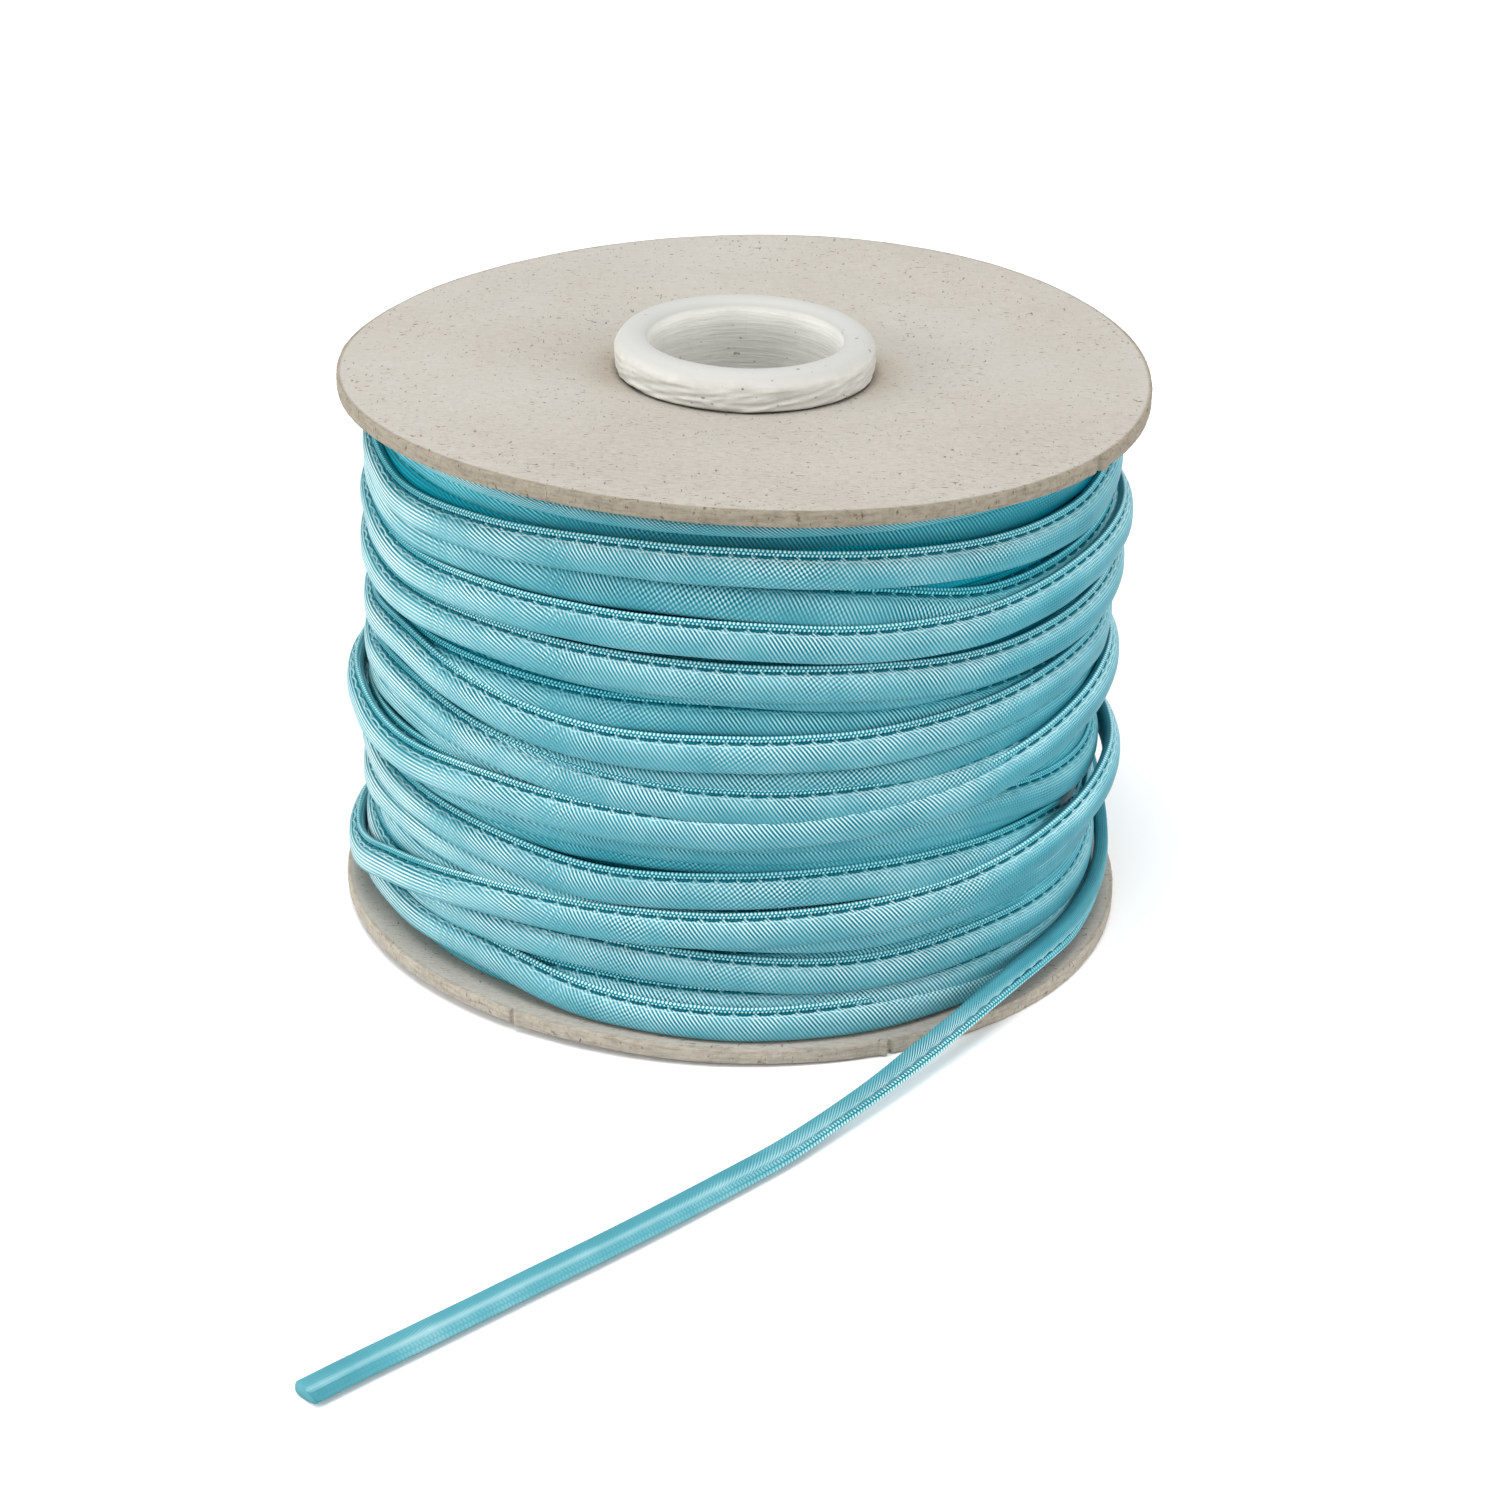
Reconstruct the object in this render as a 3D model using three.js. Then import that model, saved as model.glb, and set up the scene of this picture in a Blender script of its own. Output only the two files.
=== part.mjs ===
// Roll of flat satin cord on a cardboard spool, standing on its lower disc.
// Millimetres, +Z up along the spool's axis, origin on the surface under the axis.
import * as THREE from 'three';
import { mergeVertices } from 'three/addons/utils/BufferGeometryUtils.js';

// Driving dimensions
const DISC_RADIUS = 50;
const BOARD = 2;
const DISC_TOP_FACE = 71;
const DISC_FLAT_RADIUS = 34;
const DISC_BEND_RADIUS = 43;
const TUBE_BORE = 12;
const TUBE_OUTSIDE = 13.5;
const TUBE_FOOT = 0.4;
const RIM_RADIUS = 16.5;
const RIM_HEIGHT = 5;
const RIM_SHOULDER = 2.2;
const RIM_MOUTH = 1.2;
const RIM_EASE = 0.8;
const GAP = 0.3;
const ROUND_SEGMENTS = 60;
const WELD_DISTANCE = 0.0001;

// Wound cord: the whole width of a strand, its thickness, and the layer that shows between strands
const STRAND_WIDTH = 4.6;
const STRAND_THICKNESS = 2.2;
const UNDER_LAYER_RADIUS = 45.2;
const WINDING_COLUMNS = 60;
const WINDING_ROWS = 58;
const WINDING_EDGE_ROUND = 0.8;
const STRAND_FALL_SHARE = 0.6;
const WARP_SHARE_AT_WINDING = 0.8;

// Loose end: its width and thickness once it is off the roll
const CORD_WIDTH = 4.3;
const CORD_THICKNESS = 2.2;
const CORD_SIDES = 10;
const CORD_STEP = 6;
const LENGTH_SAMPLES = 2000;

const BOARD_COLOUR = 0xcfcbc3;
const PAPER_COLOUR = 0xe8e8e2;
const CORD_COLOUR = 0x6eb9c8;

// Warp of the discs' rims, in millimetres, by compass sense seen from above
const TOP_WARP = { tiltX: 0.45, saddle: 0.78, cross: -0.42 };
const BASE_WARP = { lift: 0.55, saddle: 0.55 };

// Upper edge of each main strand across the front, at steps of 20 degrees from the left side to
// the right, and the radius of its outer face at steps of 40 degrees.
// next names the strand whose right end it runs on to behind the roll.
const FRONT_REACH = 80;
const STRANDS = {
  A: { next: 'B', radius: [46.6, 46.7, 46.8, 46.7, 46.4],
    edge: [68.9, 68.9, 68.9, 68.9, 68.9, 68.9, 68.9, 68.9, 68.9] },
  B: { next: 'D', radius: [47.0, 47.7, 48.0, 47.7, 47.0],
    edge: [63.8, 62.9, 63.9, 65.2, 65.3, 64.2, 63.1, 62.6, 63.8] },
  C: { next: 'F', radius: [45.6, 46.4, 46.9, 46.5, 45.8],
    edge: [64.0, 61.8, 61.2, 61.0, 60.6, 59.6, 57.6, 57.4, 58.4] },
  D: { next: 'E', radius: [47.4, 47.8, 48.0, 48.0, 48.8],
    edge: [57.2, 55.4, 56.1, 56.9, 56.5, 55.5, 55.4, 56.3, 57.4] },
  E: { next: 'H', radius: [47.6, 47.9, 48.0, 47.8, 48.2],
    edge: [51.4, 51.4, 51.7, 51.7, 51.4, 50.4, 49.8, 50.1, 51.2] },
  F: { next: 'G', radius: [46.6, 47.0, 47.2, 47.0, 46.8],
    edge: [52.0, 51.6, 51.4, 51.2, 50.8, 49.6, 49.3, 49.6, 50.0] },
  G: { next: 'L', radius: [46.2, 46.7, 46.8, 46.6, 46.2],
    edge: [43.5, 45.0, 45.6, 45.4, 45.1, 44.4, 44.0, 44.0, 44.0] },
  H: { next: 'J', radius: [47.2, 47.8, 48.0, 47.7, 47.2],
    edge: [43.8, 44.9, 42.7, 41.6, 41.9, 42.5, 43.4, 43.9, 43.6] },
  J: { next: 'K', radius: [47.1, 47.5, 47.7, 47.3, 46.8],
    edge: [38.7, 38.6, 37.1, 36.0, 35.2, 35.5, 36.4, 37.2, 37.8] },
  K: { next: 'O', radius: [49.5, 48.3, 48.3, 48.1, 48.4],
    edge: [32.0, 30.8, 31.7, 32.0, 32.5, 33.2, 34.1, 34.9, 37.0] },
  L: { next: 'N', radius: [46.2, 46.6, 46.8, 46.4, 45.6],
    edge: [28.0, 28.8, 30.0, 30.1, 30.0, 29.8, 29.2, 28.0, 27.0] },
  M: { next: 'Q', radius: [47.8, 47.5, 47.4, 46.9, 45.8],
    edge: [25.5, 25.0, 24.3, 23.2, 24.0, 24.5, 24.3, 23.0, 20.5] },
  N: { next: 'S', radius: [47.6, 47.1, 46.8, 46.5, 46.0],
    edge: [20.5, 21.6, 21.2, 20.0, 19.8, 19.5, 19.5, 19.5, 19.5] },
  O: { next: 'S', radius: [49.7, 48.2, 48.2, 48.2, 49.5],
    edge: [10.2, 14.4, 17.7, 18.7, 19.4, 20.2, 21.3, 22.2, 24.8] },
  Q: { next: 'S', radius: [46.4, 47.3, 47.7, 47.3, 46.5],
    edge: [14.0, 12.5, 13.0, 13.4, 12.7, 12.1, 12.1, 12.2, 12.6] },
  S: { next: 'S', radius: [48.0, 47.6, 48.8, 47.4, 46.6],
    edge: [9.0, 9.4, 10.4, 7.2, 6.8, 7.1, 7.3, 7.1, 6.9] },
};

// Route of the loose end's centre, from the roll's right side round to its cut end on the surface.
// tilt is how far its stitched edge leans below level, in degrees.
const LOOSE_END = [
  { x: 45.6, y: 15.6, z: 15.2, tilt: 86 },
  { x: 47.1, y: 10.6, z: 12.6, tilt: 86 },
  { x: 48.0, y: 5.0, z: 10.0, tilt: 86 },
  { x: 48.3, y: -0.5, z: 7.9, tilt: 86 },
  { x: 48.0, y: -6.0, z: 6.5, tilt: 84 },
  { x: 46.9, y: -12.0, z: 5.8, tilt: 80 },
  { x: 45.1, y: -18.0, z: 5.4, tilt: 74 },
  { x: 42.7, y: -24.0, z: 5.1, tilt: 67 },
  { x: 39.5, y: -29.8, z: 4.9, tilt: 59 },
  { x: 35.8, y: -35.6, z: 4.7, tilt: 50 },
  { x: 31.8, y: -41.4, z: 4.3, tilt: 42 },
  { x: 27.6, y: -47.1, z: 3.8, tilt: 34 },
  { x: 23.2, y: -52.8, z: 3.2, tilt: 27 },
  { x: 18.4, y: -58.6, z: 2.6, tilt: 20 },
  { x: 13.0, y: -64.4, z: 2.1, tilt: 13 },
  { x: 6.9, y: -70.3, z: 1.6, tilt: 7 },
  { x: -0.2, y: -77.0, z: 1.35, tilt: 3 },
  { x: -7.2, y: -83.8, z: 1.3, tilt: 0 },
  { x: -13.4, y: -90.1, z: 1.3, tilt: 0 },
  { x: -19.4, y: -96.3, z: 1.3, tilt: 0 },
  { x: -25.2, y: -102.1, z: 1.3, tilt: 0 },
  { x: -30.9, y: -107.9, z: 1.3, tilt: 0 },
  { x: -36.4, y: -113.4, z: 1.3, tilt: 0 },
  { x: -41.6, y: -118.6, z: 1.3, tilt: 0 },
];

const radians = THREE.MathUtils.degToRad;
const smooth = (t) => t * t * (3 - 2 * t);

function material(colour, roughness) {
  return new THREE.MeshStandardMaterial({ color: colour, roughness, metalness: 0 });
}

function lathe(profile) {
  const points = profile.map(([r, z]) => new THREE.Vector2(r, z));
  points.push(points[0].clone());
  const geometry = new THREE.LatheGeometry(points, ROUND_SEGMENTS);
  geometry.rotateX(Math.PI / 2);
  return geometry;
}

// A plain solid keeps only its positions, with shared corners joined
function weld(geometry) {
  geometry.deleteAttribute('normal');
  geometry.deleteAttribute('uv');
  return mergeVertices(geometry, WELD_DISTANCE);
}

// A disc of board with a hole for the tube: flat in the middle, its rim moved up or down by warp
function disc(bottom, warp) {
  const hole = TUBE_OUTSIDE + GAP;
  const top = bottom + BOARD;
  const geometry = weld(lathe([
    [hole, bottom], [DISC_FLAT_RADIUS, bottom], [DISC_BEND_RADIUS, bottom], [DISC_RADIUS, bottom],
    [DISC_RADIUS, top], [DISC_BEND_RADIUS, top], [DISC_FLAT_RADIUS, top], [hole, top],
  ]));
  const position = geometry.getAttribute('position');
  for (let i = 0; i < position.count; i += 1) {
    const x = position.getX(i);
    const y = position.getY(i);
    const out = (Math.hypot(x, y) - DISC_FLAT_RADIUS) / (DISC_RADIUS - DISC_FLAT_RADIUS);
    const share = smooth(THREE.MathUtils.clamp(out, 0, 1));
    position.setZ(i, position.getZ(i) + share * warp(Math.atan2(y, x)));
  }
  return geometry;
}

function coreTube() {
  const foot = DISC_TOP_FACE + GAP;
  const crest = DISC_TOP_FACE + RIM_HEIGHT;
  const shoulder = crest - RIM_SHOULDER;
  return weld(lathe([
    [TUBE_BORE, TUBE_FOOT], [TUBE_OUTSIDE, TUBE_FOOT], [TUBE_OUTSIDE, foot],
    [RIM_RADIUS - RIM_EASE / 2, foot], [RIM_RADIUS, foot + RIM_EASE], [RIM_RADIUS, shoulder],
    [RIM_RADIUS - RIM_EASE, crest - RIM_EASE], [RIM_RADIUS - 2 * RIM_EASE, crest],
    [TUBE_BORE + RIM_MOUTH, crest], [TUBE_BORE + RIM_EASE / 4, crest - RIM_EASE],
    [TUBE_BORE, shoulder],
  ]));
}

// Value of a row of figures at an angle across the front, by a smooth curve through its figures
function alongFront(figures, angle) {
  const step = (2 * FRONT_REACH) / (figures.length - 1);
  const place = THREE.MathUtils.clamp((angle + FRONT_REACH) / step, 0, figures.length - 1);
  const i = Math.min(Math.floor(place), figures.length - 2);
  const t = place - i;
  const before = figures[Math.max(i - 1, 0)];
  const after = figures[Math.min(i + 2, figures.length - 1)];
  const bend = (after - figures[i]) * 0.5;
  const rise = (figures[i + 1] - before) * 0.5;
  const gap = figures[i + 1] - figures[i];
  return figures[i] + t * (rise + t * (3 * gap - 2 * rise - bend + t * (rise + bend - 2 * gap)));
}

// A strand at an angle from the front, -180 to 180: across the front by its table, and behind the
// roll from its left end round to the right end of the strand that it runs on to
function strandAt(strand, angle) {
  if (Math.abs(angle) <= FRONT_REACH) {
    return { edge: alongFront(strand.edge, angle), radius: alongFront(strand.radius, angle) };
  }
  const next = STRANDS[strand.next];
  const behind = angle < 0 ? -FRONT_REACH - angle : 360 - FRONT_REACH - angle;
  const share = smooth(behind / (360 - 2 * FRONT_REACH));
  const blend = (from, to) => THREE.MathUtils.lerp(from[0], to[to.length - 1], share);
  return { edge: blend(strand.edge, next.edge), radius: blend(strand.radius, next.radius) };
}

// Outer radius of the wound form: the strand that stands out most at this angle and height
function windingRadius(angle, z) {
  let radius = UNDER_LAYER_RADIUS;
  for (const strand of Object.values(STRANDS)) {
    const here = strandAt(strand, angle);
    const across = (z - here.edge + STRAND_WIDTH / 2) / (STRAND_WIDTH / 2);
    if (Math.abs(across) < 1) {
      const fall = STRAND_THICKNESS * STRAND_FALL_SHARE * (1 - Math.sqrt(1 - across * across));
      radius = Math.max(radius, here.radius - fall);
    }
  }
  return radius;
}

// The winding: one ring-shaped solid, its outer wall a grid over angle and height, its ends flat
// but for where the discs' rims bend towards it
function winding(baseWarp, topWarp) {
  const inner = TUBE_OUTSIDE + GAP;
  const bottom = BOARD + GAP;
  const top = DISC_TOP_FACE - BOARD - GAP;
  const positions = [];
  const triangles = [];
  const ringLength = WINDING_ROWS + 1 + 2;
  for (let column = 0; column < WINDING_COLUMNS; column += 1) {
    const turn = (column / WINDING_COLUMNS) * 2 * Math.PI;
    const compass = turn - Math.PI / 2;
    let angle = (column / WINDING_COLUMNS) * 360;
    if (angle > 180) angle -= 360;
    const rimBase = bottom + Math.max(0, baseWarp(compass)) * WARP_SHARE_AT_WINDING;
    const rimTop = top + Math.min(0, topWarp(compass)) * WARP_SHARE_AT_WINDING;
    const place = (radius, z) => positions.push(radius * Math.sin(turn), -radius * Math.cos(turn), z);
    place(inner, bottom);
    for (let row = 0; row <= WINDING_ROWS; row += 1) {
      const z = rimBase + ((rimTop - rimBase) * row) / WINDING_ROWS;
      const nearEnd = row === 0 || row === WINDING_ROWS ? WINDING_EDGE_ROUND : 0;
      place(windingRadius(angle, z) - nearEnd, z);
    }
    place(inner, top);
  }
  for (let column = 0; column < WINDING_COLUMNS; column += 1) {
    const here = column * ringLength;
    const beside = ((column + 1) % WINDING_COLUMNS) * ringLength;
    for (let i = 0; i < ringLength; i += 1) {
      const j = (i + 1) % ringLength;
      triangles.push(here + i, beside + i, beside + j, here + i, beside + j, here + j);
    }
  }
  const geometry = new THREE.BufferGeometry();
  geometry.setAttribute('position', new THREE.Float32BufferAttribute(positions, 3));
  geometry.setIndex(triangles);
  return geometry;
}

// The loose end's route, with the section turned by hand: its width leans by the table's tilt
class CordRoute extends THREE.CatmullRomCurve3 {
  computeFrenetFrames(segments) {
    const tangents = [];
    const normals = [];
    const binormals = [];
    for (let i = 0; i <= segments; i += 1) {
      const u = i / segments;
      const tangent = this.getTangentAt(u);
      const place = this.getUtoTmapping(u) * (LOOSE_END.length - 1);
      const before = LOOSE_END[Math.floor(place)];
      const after = LOOSE_END[Math.min(Math.floor(place) + 1, LOOSE_END.length - 1)];
      const tilt = radians(THREE.MathUtils.lerp(before.tilt, after.tilt, place % 1));
      const level = new THREE.Vector3(-tangent.y, tangent.x, 0).normalize();
      const wide = level.multiplyScalar(Math.cos(tilt)).add(new THREE.Vector3(0, 0, -Math.sin(tilt)));
      wide.addScaledVector(tangent, -wide.dot(tangent)).normalize();
      tangents.push(tangent);
      normals.push(wide);
      binormals.push(new THREE.Vector3().crossVectors(tangent, wide));
    }
    return { tangents, normals, binormals };
  }
}

function looseEnd() {
  const section = new THREE.Shape();
  for (let i = 0; i < CORD_SIDES; i += 1) {
    const a = ((i + 0.5) / CORD_SIDES) * 2 * Math.PI;
    const point = [(CORD_WIDTH / 2) * Math.cos(a), (CORD_THICKNESS / 2) * Math.sin(a)];
    if (i === 0) section.moveTo(...point);
    else section.lineTo(...point);
  }
  const route = new CordRoute(LOOSE_END.map(({ x, y, z }) => new THREE.Vector3(x, y, z)));
  route.arcLengthDivisions = LENGTH_SAMPLES;
  const steps = Math.round(route.getLength() / CORD_STEP);
  return weld(new THREE.ExtrudeGeometry(section, { steps, bevelEnabled: false, extrudePath: route }));
}

// The top disc's rim leans and twists a little, and the lower disc's rim lifts off at two sides
const topWarp = (a) => TOP_WARP.tiltX * Math.cos(a) + TOP_WARP.saddle * Math.sin(2 * a)
  + TOP_WARP.cross * Math.cos(2 * a);
const baseWarp = (a) => BASE_WARP.lift + BASE_WARP.saddle * Math.sin(2 * a);

const spool = new THREE.Group();

function add(name, geometry, colour, roughness) {
  const mesh = new THREE.Mesh(geometry, material(colour, roughness));
  mesh.name = name;
  spool.add(mesh);
}

add('disc_bottom', disc(0, baseWarp), BOARD_COLOUR, 0.9);
add('disc_top', disc(DISC_TOP_FACE - BOARD, topWarp), BOARD_COLOUR, 0.9);
add('core_tube', coreTube(), PAPER_COLOUR, 0.7);
add('winding', winding(baseWarp, topWarp), CORD_COLOUR, 0.45);
add('loose_end', looseEnd(), CORD_COLOUR, 0.45);

export default spool;
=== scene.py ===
import math

import bpy
import numpy as np
from mathutils import Matrix, Vector


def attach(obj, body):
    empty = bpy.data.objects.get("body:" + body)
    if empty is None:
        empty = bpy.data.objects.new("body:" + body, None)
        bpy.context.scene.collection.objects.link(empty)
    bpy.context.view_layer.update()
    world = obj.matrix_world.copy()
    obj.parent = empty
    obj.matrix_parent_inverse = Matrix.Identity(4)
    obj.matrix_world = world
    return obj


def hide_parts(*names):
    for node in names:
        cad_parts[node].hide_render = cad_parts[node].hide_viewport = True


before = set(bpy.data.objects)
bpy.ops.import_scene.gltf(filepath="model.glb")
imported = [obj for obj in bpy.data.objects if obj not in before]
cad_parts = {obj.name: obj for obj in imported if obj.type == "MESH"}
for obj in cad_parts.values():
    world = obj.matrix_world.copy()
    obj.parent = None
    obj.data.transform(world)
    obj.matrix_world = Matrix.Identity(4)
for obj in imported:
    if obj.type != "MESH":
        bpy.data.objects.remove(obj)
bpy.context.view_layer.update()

MM = 0.001

# Spool
DISC_RADIUS = 50.0
BOARD = 2.0
DISC_TOP_FACE = 71.0
DISC_FLAT_RADIUS = 34.0
HOLE_RADIUS = 13.8
TUBE_BORE = 12.0
TUBE_OUTSIDE = 13.5
TUBE_FOOT = 0.4
RIM_RADIUS = 16.1
RIM_HEIGHT = 4.8
DISH_DEPTH = 1.05
DISH_FLAT_RADIUS = 17.0
DISH_RADIUS = 33.0
TOP_WARP = {"tilt_x": 0.45, "saddle": 0.78, "cross": -0.42}
BASE_WARP = {"lift": 0.55, "saddle": 0.55}

# Boards: the radii of their flat faces' points, and the steps round them
INNER_RADII = (HOLE_RADIUS, *range(17, 34, 2), 36.0, 39.0, 42.5, 46.0)
DISC_STEPS = 1200

# Cut edge of a board: its rows, where its eased corners start, and how far in its fray reaches
EDGE_ROWS = 9
EDGE_START = 0.9
EDGE_CORNER = 0.25
CORNER_LOW = 0.03
CORNER_HIGH = 0.02
EDGE_ROUND = 0.12
FRAY_REACH = 1.5

# Nicks in the boards' edges, and the two humps that shape each one: a hump's height, its place along
# the edge and its width
NICKS = {
    "board_lower": ({"angle": -31.0, "side": 1}, {"angle": 23.0, "side": -1}),
    "board_upper": ({"angle": 56.5, "side": 1, "size": 1.6},),
}
NICK_HUMPS = ((0.34, 0.5, 0.42), (-0.75, -0.16, 0.2))

# Slit between the layers of the upper board's edge, at the right
SLIT = {"from": 77, "to": 88, "ease": 2, "height": 0.95, "half": 0.2, "within": 0.3, "depth": 0.6}

# Paper rim and its outer wall
RIM_STEPS = 480
RIM_GAP = 0.1
WALL_ROWS = 13
WALL_FOOT = 0.35
WALL_HEIGHT = 2.55
WALL_BELLY = 0.2
WALL_CALMING = 0.7
# How far in from the rim's widest and up from its foot its points lie, and their share of the crumple
RIM_FOOT = ((1.0, 0.0, 0.2), (0.45, 0.1, 0.5))
# The same for its rolled part, down from its crest, and for the top of the bore without the way in
RIM_ROLL = (
    (0.18, 1.4, 0.15), (0.42, 0.95, 0.1), (0.75, 0.55, 0.1), (1.2, 0.24, 0.1), (1.7, 0.06, 0.1),
    (2.3, 0.0, 0.1), (2.9, 0.05, 0.1), (3.4, 0.2, 0.1), (3.8, 0.5, 0.1), (4.05, 0.95, 0.1),
    (4.2, 1.6, 0.1), (4.2, 2.6, 0.1),
)
BORE_TOP = ((4.4, 0.05), (8.0, 0.0))
# How far its waves move along from one row to the next
BULGE_SLANT = 0.6
FOLD_SLANT = -1.3
CREASE_SLANT = -0.5

# Waves that make edges and turns uneven: how far each goes, in millimetres or degrees, over what
# length, and of how many sines it is made. The sines' lengths differ by a factor in this spread.
WAVE_SPREAD = (0.6, 1.7)
WAVES = {
    "slow_lean": (3.0, 60, 4), "quick_lean": (1.5, 17, 4), "deep_radius": (0.25, 150, 4),
    "board_layers": (0.05, 5.0, 7), "board_fibres": (0.035, 1.3, 7), "board_outline": (0.10, 30, 7),
    "board_height": (0.03, 20, 7), "rim_bulges": (0.22, 14, 4), "rim_folds": (0.12, 6, 4),
    "rim_creases": (0.06, 2.2, 4), "rim_dents": (0.16, 11, 4), "rim_lift": (0.12, 9, 4),
}

# Cord
CORD_WIDTH = 4.6
CORD_THICKNESS = 2.25
LOOSE_PRESSED = 0.8
STITCH_PITCH = 2.62
STITCH_LENGTH = 2.0
STITCH_THICK = 0.34
# How far round from the front the strands' table goes, and the steps along strands
FRONT_REACH = 80.0
FINE_STEP = 0.62
RING_STEP = 1.2

# Section of the cord: how far below the stitched edge's top, and how far behind the outer face
SECTION = (
    (0.00, 1.34), (0.06, 1.08), (0.22, 0.94), (0.48, 0.92), (0.68, 1.06), (0.80, 1.26),
    (0.90, 1.08), (1.02, 0.72), (1.24, 0.38), (1.60, 0.15), (2.10, 0.03), (2.80, 0.00),
    (3.50, 0.02), (4.00, 0.12), (4.32, 0.40), (4.50, 0.85), (4.58, 1.40), (4.50, 1.95),
    (4.00, 2.20), (2.40, 2.25), (1.00, 2.15), (0.20, 1.80),
)
# Places down the section that move on the loose end, where the crease lies further from the edge:
# as they are on the roll, and as they are there
LOOSE_DROPS = ((0.0, 0.68, 1.24, 4.58), (0.0, 1.32, 1.84, 4.58))
# Depths of the section where the loose end is worn and its crease is pressed out
WORN_DEPTH = (1.34, 1.05, 0.80, 0.58, 0.45, 0.37, 0.31, 0.25, 0.18, 0.10) + tuple(
    depth for _, depth in SECTION[10:]
)
SCALLOP_SHARE = (0, 0, 0, 0.2, 0.6, 1, 0.9, 0.5, 0.2) + (0,) * 13
SCALLOP_DROP = 0.09
SCALLOP_DEPTH = 0.1
STITCH_DROP = 0.84
STITCH_DEPTH = 1.02

# Stations along a stitch's lump of thread: share of its length and of its thickness
STITCH_STATIONS = ((-0.5, 0.25), (-0.38, 0.85), (0.0, 1.0), (0.38, 0.85), (0.5, 0.25))
STITCH_SIDES = 6

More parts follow.
